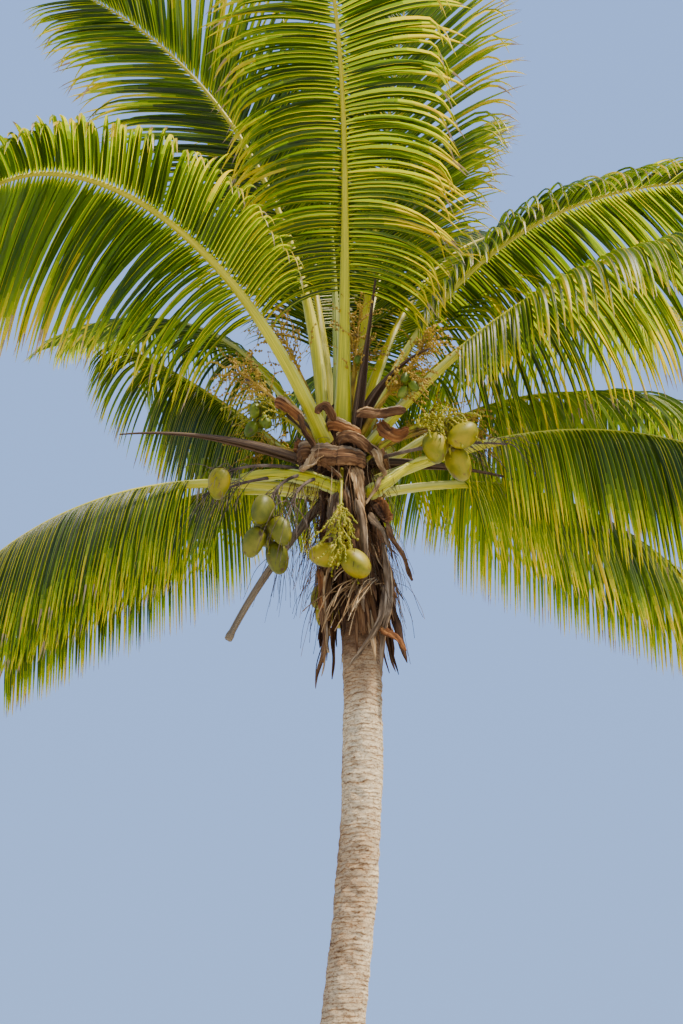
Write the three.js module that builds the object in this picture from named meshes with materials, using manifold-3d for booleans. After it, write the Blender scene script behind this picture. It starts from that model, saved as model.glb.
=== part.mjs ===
// A coconut palm, rooted in level ground: a leaning ringed trunk that flares at its foot, a heart of old
// leaf bases on top of it, fronds of every age, woody spathes, dead hanging sheaths and bunches of nuts.
// Millimetres and degrees, +Z up. The origin is the middle of the flat cut under the trunk. A heading of 0 is
// +X, 90 is +Y and -90 is -Y, which is the side that the palm is usually seen from.
import * as THREE from "three";
import { mergeVertices } from "three/addons/utils/BufferGeometryUtils.js";
import Module from "manifold-3d";

const wasm = await Module();
wasm.setup();

// The trunk's axis is one cubic curve from the foot to the crown point, where the fronds meet.
const TRUNK_AXIS = new THREE.CubicBezierCurve3(
  new THREE.Vector3(0, 0, 0),
  new THREE.Vector3(720, 50, 2300),
  new THREE.Vector3(960, -50, 4500),
  new THREE.Vector3(600, 0, 7050),
);
const CROWN = TRUNK_AXIS.getPoint(1);
const TRUNK_SHARE = 0.96; // how far up the curve the trunk reaches, under the heart
const TRUNK_TOP = TRUNK_AXIS.getPoint(TRUNK_SHARE);
const SEAT_GAP = 0.3; // between a limb and what carries it
const TRUNK_RADIUS = 165;
const FOOT_FLARE = 130; // how much wider the foot is
const FOOT_FLARE_HEIGHT = 330;
const BOLE_SWELL = 22; // the low bulge above the foot
const BOLE_HEIGHT = 1200;
const TRUNK_SIDES = 18;
const TRUNK_RINGS = 20;
const TRUNK_CROWDING = 1.5; // the rings crowd towards the foot by this power

// The heart of leaf bases: radius against height over the crown point.
const HEART_PROFILE = [
  [TRUNK_TOP.z - CROWN.z + SEAT_GAP, 172],
  [-200, 205],
  [0, 210],
  [150, 200],
  [300, 175],
  [430, 145],
  [540, 95],
  [600, 40],
];
const HEART_SIDES = 14;

const SEAT_DEPTH = 0.85; // a limb starts at this share of the heart's radius and is cut back to its skin

// Every limb bends down from its rise, more and more towards its tip, by this power of the way along.
const BOW = 1.4;
const LIMB_STEPS = 48;
const LIMB_SIDES = 6;
const LIMB_RINGS = 7;

const PETIOLE = 0.24; // the bare share of a frond
const PETIOLE_RINGS = 4;
// Width and depth of a frond's rib where it leaves the heart, past that broad base, and at its tip
const RIB_BASE = { width: 120, depth: 70 };
const RIB_PAST_BASE = { width: 88, depth: 56 };
const RIB_TIP = { width: 14, depth: 12 };
const RIB_BASE_SHARE = 0.14; // how far up a frond its base narrows
const RIB_KEEL = 0.6; // width of the rib's underside, as a share of its top
const TEETH = 12; // leaflet blades on each side of a frond
const WIDE_BEND = 70; // a frond that bends more than this is made in two lengths
const SPLIT_TOOTH = 5; // the outer length starts before this tooth
const LEAFLET = 1180; // the longest leaflet
const LEAFLET_THICK = 16;
const LEAFLET_OUT = 78; // angle from the rib at the first leaflet
const LEAFLET_FORWARD = 38; // how much that angle closes by the tip
const LEAFLET_LIFT = 12; // leaflets rise out of the frond's plane by this angle
// A leaflet's share of the longest follows a sine to a power, between these shares of a half turn.
const LEAFLET_ARCH_START = 0.18;
const LEAFLET_ARCH_END = 0.9;
const LEAFLET_ARCH_POWER = 0.7;
// Leaflets hang down from their first direction: most on a level frond, and more towards their tips.
const DROOP_WHEN_LEVEL = 2;
const DROOP_LOST_PER_DEGREE = 0.02;
const DROOP_POWER = 1.3;
const TOOTH_WAIST = 0.66; // a tooth's width half way out, as a share of its width at the rib
const TOOTH_STEPS = 8;
const CLEARANCE = 6; // between the leaflets of different fronds
const TRIMS = [1, 0.75, 0.5, 0.3]; // shares of its length that a crowded leaflet is tried at

// heading, rise at the base, bend from base to tip, length, height of the base over the crown point, sway,
// and twist: how far the frond turns about its own rib on the way out to its first leaflets
const FRONDS = {
  frond_front: [-86, 80, 45, 5200, 280, -30, 0],
  frond_left_arching: [-130, 51, 137, 5200, 120, 3, 15],
  frond_left_high: [-169, 85, 52, 5400, 360, -10, 85],
  frond_right_upright: [-15, 85, 4, 5200, 400, 0, 80],
  frond_right_high: [5, 69, 75, 5200, 265, 0, 0],
  frond_right_arching: [-12, 50, 76, 5200, 130, 0, 0],
  frond_right_low: [-4, 24, 98, 5000, -170, 0, 0],
  frond_left_low: [174, 13, 108, 4800, -220, 6, 0],
  frond_left_drooping: [138, 44, 8, 4200, -70, -12, 0],
  frond_rear_upright: [56, 78, 32, 5200, 410, 0, 0],
  frond_rear_left: [138, 60, 60, 5200, 130, 0, -15],
};
// The rear of the crown is filled by whorls: headings, then the same six values, shared by the whorl.
const REAR_WHORLS = {
  frond_rear_upper: [[124], 82, 28, 5000, 380, 0, 0],
  frond_rear_inner: [[50, 92], 71, 46, 5200, 250, 0, 20],
  frond_rear_middle: [[36, 84], 58, 56, 5200, 120, 0, 0],
  frond_rear_lower: [[30, 66, 106], 44, 58, 4900, -70, 0, 0],
  frond_rear_side: [[31, 141], 24, 74, 4600, -220, 0, 0],
};

// Spathes and dead stalks: the same six values, then the radius at the base and at the tip
const SPATHE_WIDEST = 0.33; // a spathe is boat-shaped, and widest this far out
const SPATHE_BASE = 0.75; // shares of its radius at the base, and more at the widest
const SPATHE_BELLY = 0.5;
const SPEAR = [-130, 88, 4, 2300, 590, 0, 42, 5]; // the unopened leaf in the middle
const SPATHES = {
  spathe_left: [-176, 20, 28, 1750, 0, 0, 34, 6],
  spathe_right: [10, 6, 18, 1400, 50, 0, 34, 6],
  spathe_front_upright: [-58, 76, 0, 1580, 60, 0, 34, 8],
  spathe_left_rear: [164, 52, 10, 1100, 210, 0, 34, 12],
  spathe_over_young: [-36, 62, 62, 1000, 290, 0, 34, 8],
  spathe_rear: [90, 73, 10, 1200, 420, 0, 28, 8],
  dead_stalk: [178, -52, 14, 1500, -270, 0, 36, 18],
};

// Bunches: the six values of the stalk, then the number of nuts, a nut's length and the first nut's turn
const BUNCHES = {
  bunch_left_single: [-154, 4, 38, 980, -110, 0, 1, 270, 0],
  bunch_left: [-143, -6, 75, 780, -140, 0, 5, 260, 62],
  bunch_front: [-92, -47, 52, 920, -80, 0, 2, 280, 205],
  bunch_right: [-34, 34, 54, 930, -40, 0, 4, 280, 312],
  bunch_left_green: [172, 59, 31, 800, 110, 0, 5, 160, 250],
  bunch_young: [-38, 60, 49, 740, 180, 0, 4, 120, 178],
  bunch_young_upright: [-54, 80, 8, 560, 430, 0, 3, 90, 0],
  bunch_rear_right: [62, -55, 30, 900, -300, 0, 3, 250, 90],
  bunch_rear: [86, 4, 60, 800, -160, 0, 5, 250, 40],
  bunch_rear_left: [102, -33, 30, 860, -240, 0, 3, 250, 315],
};
const STALK_RADIUS = 26;
const STALK_END = 10;
const NUT_ROUNDNESS = 0.8; // a nut's width over its length
// Shares of a nut's length: how far its middle is from the stem, how far the first one hangs under the
// stalk's end, and how much lower each next one is
const NUT_SPREAD = 0.44;
const NUT_HANG = 0.3;
const NUT_PITCH = 0.32;
const STEM_RADIUS = 0.075; // share of a nut's length
const STEM_SIDES = 6;
const GOLDEN_TURN = 137.5;

// Dead sheaths hang down the top of the trunk: heading, width, length, and how far the tip stands off.
const SHEATHS = {
  dead_sheath_front: [-84, 160, 1250, 50],
  dead_sheath_left: [-152, 160, 1450, 130],
  dead_sheath_right: [-24, 160, 1450, 160],
  dead_sheath_rear_right: [36, 160, 1250, 120],
  dead_sheath_rear: [96, 160, 1350, 120],
  dead_sheath_rear_left: [156, 160, 1200, 120],
};
// A sheath's width, as a share of its widest, against how far down its length that is
const SHEATH_PROFILE = [
  [0, 0.7],
  [0.25, 1],
  [0.6, 0.8],
  [0.85, 0.45],
  [1, 0.12],
];
const SHEATH_THICK = 42;
const SHEATH_SUNK = 0.93; // a sheath's inner face starts at this share of the trunk's radius
const SHEATH_BEVEL = 0.7; // its outer face is this share of its width
const SHEATH_TOP = 6690; // height of the sheaths' upper edge, under the heart

const rad = THREE.MathUtils.degToRad;
const lerp = THREE.MathUtils.lerp;

// A closed skin, gathered face by face. A corner is added once and then named by its number.
class Skin {
  places = [];
  faces = [];

  corner(p) {
    this.places.push(p.x, p.y, p.z);
    return this.places.length / 3 - 1;
  }

  ring(points) {
    return points.map((p) => this.corner(p));
  }

  quad(a, b, c, d) {
    this.faces.push(a, b, c, a, c, d);
  }

  // Side faces between two rings that run anticlockwise, seen from the end that the limb grows to
  wall(from, to) {
    from.forEach((a, k) => {
      const next = (k + 1) % from.length;
      this.quad(a, from[next], to[next], to[k]);
    });
  }

  cone(from, tip) {
    from.forEach((a, k) => this.faces.push(a, from[(k + 1) % from.length], tip));
  }

  cap(ring, facingBack) {
    for (let k = 1; k < ring.length - 1; k++) {
      if (facingBack) this.faces.push(ring[0], ring[k + 1], ring[k]);
      else this.faces.push(ring[0], ring[k], ring[k + 1]);
    }
  }

  geometry() {
    const made = new THREE.BufferGeometry();
    made.setAttribute("position", new THREE.Float32BufferAttribute(this.places, 3));
    return made.setIndex(this.faces);
  }
}

// A limb through rings of points, closed at both ends.
function loft(rings) {
  const skin = new Skin();
  const made = rings.map((points) => skin.ring(points));
  skin.cap(made[0], true);
  for (let k = 1; k < made.length; k++) skin.wall(made[k - 1], made[k]);
  skin.cap(made[made.length - 1], false);
  return skin.geometry();
}

function circle(centre, radius, sides, across, up) {
  return Array.from({ length: sides }, (_, k) => {
    const turn = (2 * Math.PI * k) / sides;
    return centre
      .clone()
      .addScaledVector(across, radius * Math.cos(turn))
      .addScaledVector(up, radius * Math.sin(turn));
  });
}

function solidOf(geometry) {
  const bare = geometry.clone();
  bare.deleteAttribute("normal");
  bare.deleteAttribute("uv");
  const merged = mergeVertices(bare, 1e-3);
  return new wasm.Manifold(
    new wasm.Mesh({
      numProp: 3,
      vertProperties: new Float32Array(merged.attributes.position.array),
      triVerts: new Uint32Array(merged.index.array),
    }),
  );
}

function geometryOf(solid) {
  const mesh = solid.getMesh();
  const made = new THREE.BufferGeometry();
  made.setAttribute("position", new THREE.BufferAttribute(mesh.vertProperties, 3));
  return made.setIndex(new THREE.BufferAttribute(mesh.triVerts, 1));
}

const largestPiece = (solid) =>
  solid.decompose().sort((a, b) => b.volume() - a.volume())[0];

const EAST = new THREE.Vector3(1, 0, 0);
const NORTH = new THREE.Vector3(0, 1, 0);
const DOWN = new THREE.Vector3(0, 0, -1);

function trunkRadius(height) {
  const flare = FOOT_FLARE * Math.exp(-height / FOOT_FLARE_HEIGHT);
  const swell = BOLE_SWELL * Math.exp(-(((height - BOLE_HEIGHT) / BOLE_HEIGHT) ** 2));
  return TRUNK_RADIUS + flare + swell;
}

// The trunk as level rings round its axis, grown outwards by margin. The rings crowd towards the foot.
function trunkGeometry(margin = 0) {
  const rings = [];
  for (let k = 0; k <= TRUNK_RINGS; k++) {
    const centre = TRUNK_AXIS.getPoint(TRUNK_SHARE * (k / TRUNK_RINGS) ** TRUNK_CROWDING);
    const radius = trunkRadius(centre.z) + margin;
    rings.push(circle(centre, radius, TRUNK_SIDES, EAST, NORTH));
  }
  return loft(rings);
}

// The middle of the heart at a height over the crown point: on the trunk's axis below it, plumb above it.
function heartCentre(lift) {
  const share = THREE.MathUtils.inverseLerp(TRUNK_TOP.z, CROWN.z, CROWN.z + lift);
  const centre = TRUNK_TOP.clone().lerp(CROWN, THREE.MathUtils.clamp(share, 0, 1));
  centre.z = CROWN.z + lift;
  return centre;
}

function heartRadius(lift) {
  const above = HEART_PROFILE.findIndex(([height]) => height >= lift);
  if (above <= 0) return HEART_PROFILE[above === 0 ? 0 : HEART_PROFILE.length - 1][1];
  const [low, wide] = HEART_PROFILE[above - 1];
  const [high, narrow] = HEART_PROFILE[above];
  return lerp(wide, narrow, (lift - low) / (high - low));
}

// The heart, grown by margin at its sides and by twice that at its foot, where the trunk's top is close.
function heartGeometry(margin = 0) {
  return loft(
    HEART_PROFILE.map(([lift, radius], k) => {
      const centre = heartCentre(k === 0 ? lift - 2 * margin : lift);
      return circle(centre, radius + margin, HEART_SIDES, EAST, NORTH);
    }),
  );
}

// A limb's centre line, from its seat on the heart: at(u) gives its place and its three directions.
function limbLine([heading, rise, bend, length, lift, sway]) {
  const turnAt = (u) => rad(heading + sway * u * u);
  const climbAt = (u) => rad(rise - bend * u ** BOW);
  const alongAt = (u) => {
    const level = Math.cos(climbAt(u));
    return new THREE.Vector3(
      level * Math.cos(turnAt(u)),
      level * Math.sin(turnAt(u)),
      Math.sin(climbAt(u)),
    );
  };
  const seat = SEAT_DEPTH * heartRadius(lift);
  const start = heartCentre(lift).add(
    new THREE.Vector3(seat * Math.cos(rad(heading)), seat * Math.sin(rad(heading)), 0),
  );
  const places = [start];
  for (let k = 0; k < LIMB_STEPS; k++) {
    const step = alongAt((k + 0.5) / LIMB_STEPS);
    places.push(places[k].clone().addScaledVector(step, length / LIMB_STEPS));
  }
  return (u) => {
    const k = Math.min(LIMB_STEPS - 1, Math.floor(u * LIMB_STEPS));
    const along = alongAt(u);
    const side = new THREE.Vector3(-Math.sin(turnAt(u)), Math.cos(turnAt(u)), 0);
    return {
      place: places[k].clone().lerp(places[k + 1], u * LIMB_STEPS - k),
      along,
      side,
      up: along.clone().cross(side),
    };
  };
}

// A frond's line: the limb's, turned about its own direction by the twist.
function frondLine(values) {
  const line = limbLine(values);
  return (u) => {
    const { place, along, side, up } = line(u);
    const twist = rad(values[6]) * Math.min(1, u / PETIOLE);
    return {
      place,
      along,
      side: side.clone().multiplyScalar(Math.cos(twist)).addScaledVector(up, Math.sin(twist)),
      up: up.clone().multiplyScalar(Math.cos(twist)).addScaledVector(side, -Math.sin(twist)),
    };
  };
}

// The width and depth of a frond's rib: broad at its base, slim at its tip.
function ribSize(u, measure) {
  const base = Math.max(0, 1 - u / RIB_BASE_SHARE);
  const slim = lerp(RIB_PAST_BASE[measure], RIB_TIP[measure], u);
  return slim + (RIB_BASE[measure] - RIB_PAST_BASE[measure]) * base;
}

// The rib's section: top corners, then bottom corners, which lie closer together.
function ribRing(line, u) {
  const { place, side, up } = line(u);
  const corner = (across, above) =>
    place
      .clone()
      .addScaledVector(side, (across * ribSize(u, "width")) / 2)
      .addScaledVector(up, (above * ribSize(u, "depth")) / 2);
  return [corner(1, 1), corner(-1, 1), corner(-RIB_KEEL, -1), corner(RIB_KEEL, -1)];
}

function ribStations() {
  const stations = [];
  for (let k = 0; k < PETIOLE_RINGS; k++) {
    stations.push((PETIOLE * k) / PETIOLE_RINGS);
  }
  for (let k = 0; k <= TEETH; k++) {
    stations.push(PETIOLE + ((1 - PETIOLE) * k) / TEETH);
  }
  return stations;
}

// A leaflet's length as a share of the longest, v of the way along the blade.
const leafletShare = (v) =>
  Math.sin(Math.PI * lerp(LEAFLET_ARCH_START, LEAFLET_ARCH_END, v)) ** LEAFLET_ARCH_POWER;

// How much a frond's leaflets droop: little on an upright young frond, much on an old low one.
const droopOf = (rise) => DROOP_WHEN_LEVEL - DROOP_LOST_PER_DEGREE * rise;

// Where a leaflet runs: its waist half way out and its tip, and the direction that it has at each.
function leafletPath(line, rise, v, hand, trim) {
  const { place, along, side, up } = line(PETIOLE + (1 - PETIOLE) * v);
  const out = rad(LEAFLET_OUT - LEAFLET_FORWARD * v);
  const lifted = rad(LEAFLET_LIFT);
  const first = along
    .clone()
    .multiplyScalar(Math.cos(out))
    .addScaledVector(side, hand * Math.sin(out) * Math.cos(lifted))
    .addScaledVector(up, Math.sin(out) * Math.sin(lifted));
  const heading = (t) =>
    first.clone().addScaledVector(DOWN, droopOf(rise) * t ** DROOP_POWER).normalize();
  const step = (LEAFLET * leafletShare(v)) / TOOTH_STEPS;
  const reached = place.clone();
  const stops = [];
  for (let k = 0; k < TOOTH_STEPS; k++) {
    reached.addScaledVector(heading(((k + 0.5) / TOOTH_STEPS) * trim), step * trim);
    if (k + 1 === TOOTH_STEPS / 2) stops.push(reached.clone());
  }
  return { along, waist: stops[0], heading: heading(trim / 2), tip: reached };
}

// The four corners of a tooth's waist, in the order that its root has on the rib.
function waistRing(path, hand, width) {
  const across = path.along
    .clone()
    .addScaledVector(path.heading, -path.along.dot(path.heading))
    .normalize();
  const up = across.clone().cross(path.heading).multiplyScalar(hand);
  const corner = (forward, above) =>
    path.waist
      .clone()
      .addScaledVector(across, (hand * forward * width) / 2)
      .addScaledVector(up, (above * LEAFLET_THICK) / 2);
  return [corner(-1, 1), corner(1, 1), corner(1, -1), corner(-1, -1)];
}

// The tooth between two rib sections: its root corners, its waist corners and its tip.
function toothParts(frond, near, far, index, hand, trim) {
  const v = (index + 0.5) / TEETH;
  const path = leafletPath(frond.line, frond.rise, v, hand, trim);
  const width = ((frond.length * (1 - PETIOLE)) / TEETH) * TOOTH_WAIST;
  const root = hand > 0
    ? [near[0], far[0], far[3], near[3]]
    : [far[1], near[1], near[2], far[2]];
  return { root, waist: waistRing(path, hand, width), tip: path.tip };
}

function addTooth(skin, root, waist, tip) {
  const middle = skin.ring(waist);
  skin.wall(root, middle);
  skin.cone(middle, skin.corner(tip));
}

// A tooth alone, closed at its root, to test whether it has room.
function toothSolid(parts) {
  const skin = new Skin();
  const root = skin.ring(parts.root);
  skin.cap(root, true);
  addTooth(skin, root, parts.waist, parts.tip);
  return solidOf(skin.geometry());
}

// A length of a frond between two stations: one skin over its rib and the teeth that have room. A length
// that grows on from another keeps the seat's gap to it.
function frondGeometry(frond, first, last) {
  const skin = new Skin();
  const stations = ribStations().slice(first, last + 1);
  if (first > 0) stations[0] += SEAT_GAP / frond.length;
  const rings = stations.map((u) => skin.ring(ribRing(frond.line, u)));
  skin.cap(rings[0], true);
  for (let k = 1; k < rings.length; k++) {
    const [near, far] = [rings[k - 1], rings[k]];
    const index = first + k - 1 - PETIOLE_RINGS;
    if (index < 0) {
      skin.wall(near, far);
      continue;
    }
    skin.quad(near[0], near[1], far[1], far[0]);
    skin.quad(near[2], near[3], far[3], far[2]);
    for (const hand of [1, -1]) {
      const trim = frond.trims[hand][index];
      if (trim) {
        const parts = toothParts(frond, near, far, index, hand, trim);
        addTooth(skin, parts.root, parts.waist, parts.tip);
      } else if (hand > 0) skin.quad(near[3], near[0], far[0], far[3]);
      else skin.quad(near[1], near[2], far[2], far[1]);
    }
  }
  skin.cap(rings[rings.length - 1], false);
  return skin.geometry();
}

// A round limb that tapers from one radius to another; shape is the share of that radius along it.
function roundLimb(line, from, to, shape = () => 1) {
  const made = [];
  for (let k = 0; k <= LIMB_RINGS; k++) {
    const u = k / LIMB_RINGS;
    const { place, side, up } = line(u);
    made.push(circle(place, lerp(from, to, u) * shape(u), LIMB_SIDES, side, up));
  }
  return loft(made);
}

const boat = (u) =>
  SPATHE_BASE + SPATHE_BELLY * Math.sin(Math.PI * Math.min(1, u / (2 * SPATHE_WIDEST)));

function nutSolid(place, length) {
  const nut = new THREE.SphereGeometry(length / 2, 8, 6);
  nut.rotateX(rad(90));
  nut.scale(NUT_ROUNDNESS, NUT_ROUNDNESS, 1);
  nut.translate(place.x, place.y, place.z);
  return solidOf(nut);
}

// A stalk with a plumb stem at its end, and the nuts that hang round that stem in a spiral, one golden turn
// and a pitch apart.
function bunchSolid(values) {
  const [count, nutLength, firstTurn] = values.slice(6);
  const line = limbLine(values);
  const { place: end, side } = line(1);
  const outward = side.clone().cross(new THREE.Vector3(0, 0, 1));
  const stemRadius = STEM_RADIUS * nutLength;
  const levelRing = (z) =>
    circle(new THREE.Vector3(end.x, end.y, z), stemRadius, STEM_SIDES, EAST, NORTH);
  const drop = (k) => nutLength * (NUT_HANG + NUT_PITCH * k);
  let made = solidOf(roundLimb(line, STALK_RADIUS, STALK_END));
  made = made.add(solidOf(loft([levelRing(end.z - drop(count - 1)), levelRing(end.z)])));
  for (let k = 0; k < count; k++) {
    const turn = rad(firstTurn + GOLDEN_TURN * k);
    const spread = count > 1 ? NUT_SPREAD * nutLength : 0;
    const seat = end
      .clone()
      .addScaledVector(side, Math.cos(turn) * spread)
      .addScaledVector(outward, Math.sin(turn) * spread);
    seat.z -= drop(k);
    made = made.add(nutSolid(seat, nutLength));
  }
  return made;
}

// A tongue of dead fibre that lies on the trunk, widest below its top and pointed at its foot.
function sheathGeometry([heading, width, length, standOff]) {
  const outward = new THREE.Vector3(Math.cos(rad(heading)), Math.sin(rad(heading)), 0);
  const side = new THREE.Vector3(-outward.y, outward.x, 0);
  return loft(
    SHEATH_PROFILE.map(([drop, wide]) => {
      const height = SHEATH_TOP - length * drop;
      const centre = axisAt(height);
      const lift = trunkRadius(height) * SHEATH_SUNK + standOff * drop * drop;
      const corner = (across, out) =>
        centre
          .clone()
          .addScaledVector(side, (across * wide * width) / 2)
          .addScaledVector(outward, lift + out);
      return [
        corner(1, 0),
        corner(SHEATH_BEVEL, SHEATH_THICK),
        corner(-SHEATH_BEVEL, SHEATH_THICK),
        corner(-1, 0),
      ];
    }),
  );
}

// The trunk's axis at a height, found by halving.
function axisAt(height) {
  let [low, high] = [0, 1];
  for (let k = 0; k < 30; k++) {
    const middle = (low + high) / 2;
    if (TRUNK_AXIS.getPoint(middle).z < height) low = middle;
    else high = middle;
  }
  return TRUNK_AXIS.getPoint(low);
}

const trunk = solidOf(trunkGeometry());
const heart = solidOf(heartGeometry());
const roomForTrunk = solidOf(trunkGeometry(SEAT_GAP));
const roomForHeart = solidOf(heartGeometry(SEAT_GAP));
const seated = (solid) => largestPiece(solid.subtract(roomForHeart).subtract(roomForTrunk));

// Everything that is neither trunk nor leaflet is a limb, and every leaflet keeps clear of all limbs.
const limbs = new Map();
limbs.set("spear", seated(solidOf(roundLimb(limbLine(SPEAR), ...SPEAR.slice(6)))));
for (const [name, values] of Object.entries(SPATHES)) {
  const radii = values.slice(6);
  limbs.set(name, seated(solidOf(roundLimb(limbLine(values), ...radii, boat))));
}
for (const [name, values] of Object.entries(BUNCHES)) {
  limbs.set(name, seated(bunchSolid(values)));
}
for (const [name, values] of Object.entries(SHEATHS)) {
  limbs.set(name, seated(solidOf(sheathGeometry(values))));
}

const frondValues = { ...FRONDS };
for (const [name, [headings, ...shared]] of Object.entries(REAR_WHORLS)) {
  headings.forEach((heading, k) => {
    frondValues[`${name}_${k + 1}`] = [heading, ...shared];
  });
}

const fronds = Object.entries(frondValues).map(([name, values]) => {
  const line = frondLine(values);
  const [, rise, bend, length] = values;
  const rings = ribStations().map((u) => ribRing(line, u));
  return {
    name,
    line,
    rise,
    bend,
    length,
    rings,
    rib: solidOf(loft(rings)),
    trims: { 1: [], [-1]: [] },
  };
});

const apart = (a, b, gap) =>
  a.box.min.some((low, k) => low - gap > b.box.max[k]) ||
  b.box.min.some((low, k) => low - gap > a.box.max[k]);
const placed = [];
function place(owner, solid) {
  placed.push({ owner, solid, box: solid.boundingBox() });
}
function hasRoom(owner, solid) {
  const mine = { box: solid.boundingBox() };
  return placed.every(
    (other) =>
      other.owner === owner ||
      apart(mine, other, CLEARANCE) ||
      solid.minGap(other.solid, CLEARANCE) >= CLEARANCE,
  );
}

place("trunk", trunk);
place("heart", heart);
for (const [name, solid] of limbs) place(name, solid);
for (const frond of fronds) place(frond.name, frond.rib);

// Leaflets are dealt out from rib to tip, frond by frond, and a crowded one is trimmed or left out.
for (const frond of fronds) {
  for (const hand of [1, -1]) {
    for (let index = 0; index < TEETH; index++) {
      const near = frond.rings[PETIOLE_RINGS + index];
      const far = frond.rings[PETIOLE_RINGS + index + 1];
      const fits = (trim) => {
        const solid = toothSolid(toothParts(frond, near, far, index, hand, trim));
        if (!hasRoom(frond.name, solid)) return false;
        place(frond.name, solid);
        return true;
      };
      frond.trims[hand][index] = TRIMS.find(fits) ?? 0;
    }
  }
}

const finish = (color, roughness) =>
  new THREE.MeshStandardMaterial({ color, roughness, metalness: 0 });
const BARK = finish(0xa39080, 0.95);
const FIBRE = finish(0x6b4a33, 0.95);
const WOODY = finish(0x4f3a2a, 0.8);
const LEAF = finish(0x6f8f2c, 0.55);
const HUSK = finish(0xa9b545, 0.5);

const palm = new THREE.Group();
function addPart(name, solid, material) {
  const mesh = new THREE.Mesh(geometryOf(solid), material);
  mesh.name = name;
  palm.add(mesh);
}

addPart("trunk", trunk, BARK);
addPart("heart", heart, FIBRE);
for (const [name, solid] of limbs) {
  let material = WOODY;
  if (name in BUNCHES) material = HUSK;
  if (name in SHEATHS) material = FIBRE;
  if (name === "spear") material = LEAF;
  addPart(name, solid, material);
}
for (const frond of fronds) {
  const last = PETIOLE_RINGS + TEETH;
  if (frond.bend < WIDE_BEND) {
    addPart(frond.name, seated(solidOf(frondGeometry(frond, 0, last))), LEAF);
    continue;
  }
  const split = PETIOLE_RINGS + SPLIT_TOOTH;
  addPart(`${frond.name}_base`, seated(solidOf(frondGeometry(frond, 0, split))), LEAF);
  addPart(`${frond.name}_tip`, solidOf(frondGeometry(frond, split, last)), LEAF);
}

export default palm;
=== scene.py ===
# %% [markdown]
# # A coconut palm, dressed on its frame
#
# The frame is the palm in plain solids: trunk, heart, fronds, spathes, bunches and dead sheaths, all at
# their real size and place. This lesson dresses it. Each step says what a piece is on the real palm, how
# it could be made, and why it is made here as it is. Everything is in metres, +Z is up, and the palm
# stands at the origin, leaning a little to +X.

import bpy
import numpy as np
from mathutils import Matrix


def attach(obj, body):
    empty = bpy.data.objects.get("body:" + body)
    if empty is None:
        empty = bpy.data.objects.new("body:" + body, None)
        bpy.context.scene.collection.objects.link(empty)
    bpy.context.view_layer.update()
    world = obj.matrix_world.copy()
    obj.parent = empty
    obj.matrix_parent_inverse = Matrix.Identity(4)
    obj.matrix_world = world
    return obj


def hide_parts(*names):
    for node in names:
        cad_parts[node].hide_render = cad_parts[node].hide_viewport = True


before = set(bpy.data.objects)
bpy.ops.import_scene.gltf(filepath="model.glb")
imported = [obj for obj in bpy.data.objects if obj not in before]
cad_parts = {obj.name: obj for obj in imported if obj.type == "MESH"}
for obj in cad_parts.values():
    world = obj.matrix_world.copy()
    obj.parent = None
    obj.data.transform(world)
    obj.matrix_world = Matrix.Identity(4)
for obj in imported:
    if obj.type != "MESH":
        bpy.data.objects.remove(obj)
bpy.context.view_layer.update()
print("frame:", len(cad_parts), "nodes")

# %% [markdown]
# ## Finishes out of nodes
#
# Plant surfaces are never one flat colour, and never perfectly smooth either. Every finish here mixes two
# or three near colours by noise, in the palm's own coordinates, and takes a finer noise for its bumps.
# `stretch` draws a noise out, so that it turns into fibre or grain. Where the pattern has to follow a
# surface, such as the grooves along a stalk, it reads the piece's own map, which runs along it and round
# it. `Nodes` adds nodes to any tree, and `Finish` is the tree of a new material.


# %% Nodes and finishes
class Nodes:
    """Adds nodes to a tree. An input takes a value, or the output of another node."""

    def __init__(self, tree):
        self.tree = tree
        self.where = self.add("TexCoord").outputs

    def add(self, kind, settings=None, **inputs):
        """One node with its settings. Its inputs go by name, or by number as i0, i1 and so on."""
        made = self.tree.nodes.new("ShaderNode" + kind)
        for key, value in (settings or {}).items():
            setattr(made, key, value)
        for key, value in inputs.items():
            socket = made.inputs[int(key[1:]) if key[1:].isdigit() else key]
            if isinstance(value, bpy.types.NodeSocket):
                self.tree.links.new(value, socket)
            else:
                socket.default_value = value
        return made

    def axes(self, on):
        return self.add("SeparateXYZ", i0=self.where[on]).outputs

    def noise(self, scale, detail=4, stretch=(1, 1, 1), rough=0.55, on="Object"):
        """A noise value whose pattern is drawn out by stretch: a small number makes it long that way."""
        at = self.add("VectorMath", {"operation": "MULTIPLY"}, i0=self.where[on], i1=stretch).outputs[0]
        return self.add("TexNoise", i0=at, Scale=scale, Detail=detail, Roughness=rough).outputs[0]

    def ramp(self, source, stops):
        """A colour ramp: stops are (place, colour), and a single number is a grey."""
        made = self.add("ValToRGB", i0=source)
        elements = made.color_ramp.elements
        while len(elements) < len(stops):
            elements.new(0.5)
        for element, (place, colour) in zip(elements, stops):
            element.position = place
            element.color = (*(colour if isinstance(colour, tuple) else (colour,) * 3), 1)
        return made.outputs["Color"]

    def blend(self, share, first, second, how="MIX"):
        """The first colour, changed by a share of the second."""
        first, second = ((*colour, 1) if isinstance(colour, tuple) else colour for colour in (first, second))
        made = self.add("Mix", {"data_type": "RGBA", "blend_type": how}, i0=share, i6=first, i7=second)
        return made.outputs[2]

    def math(self, how, first, second=0):
        return self.add("Math", {"operation": how}, i0=first, i1=second).outputs[0]

    def between(self, value, start, end, low, high):
        """Low where the value is at its start, high at its end, and even between them."""
        return self.add("MapRange", i0=value, i1=start, i2=end, i3=low, i4=high).outputs[0]


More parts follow.
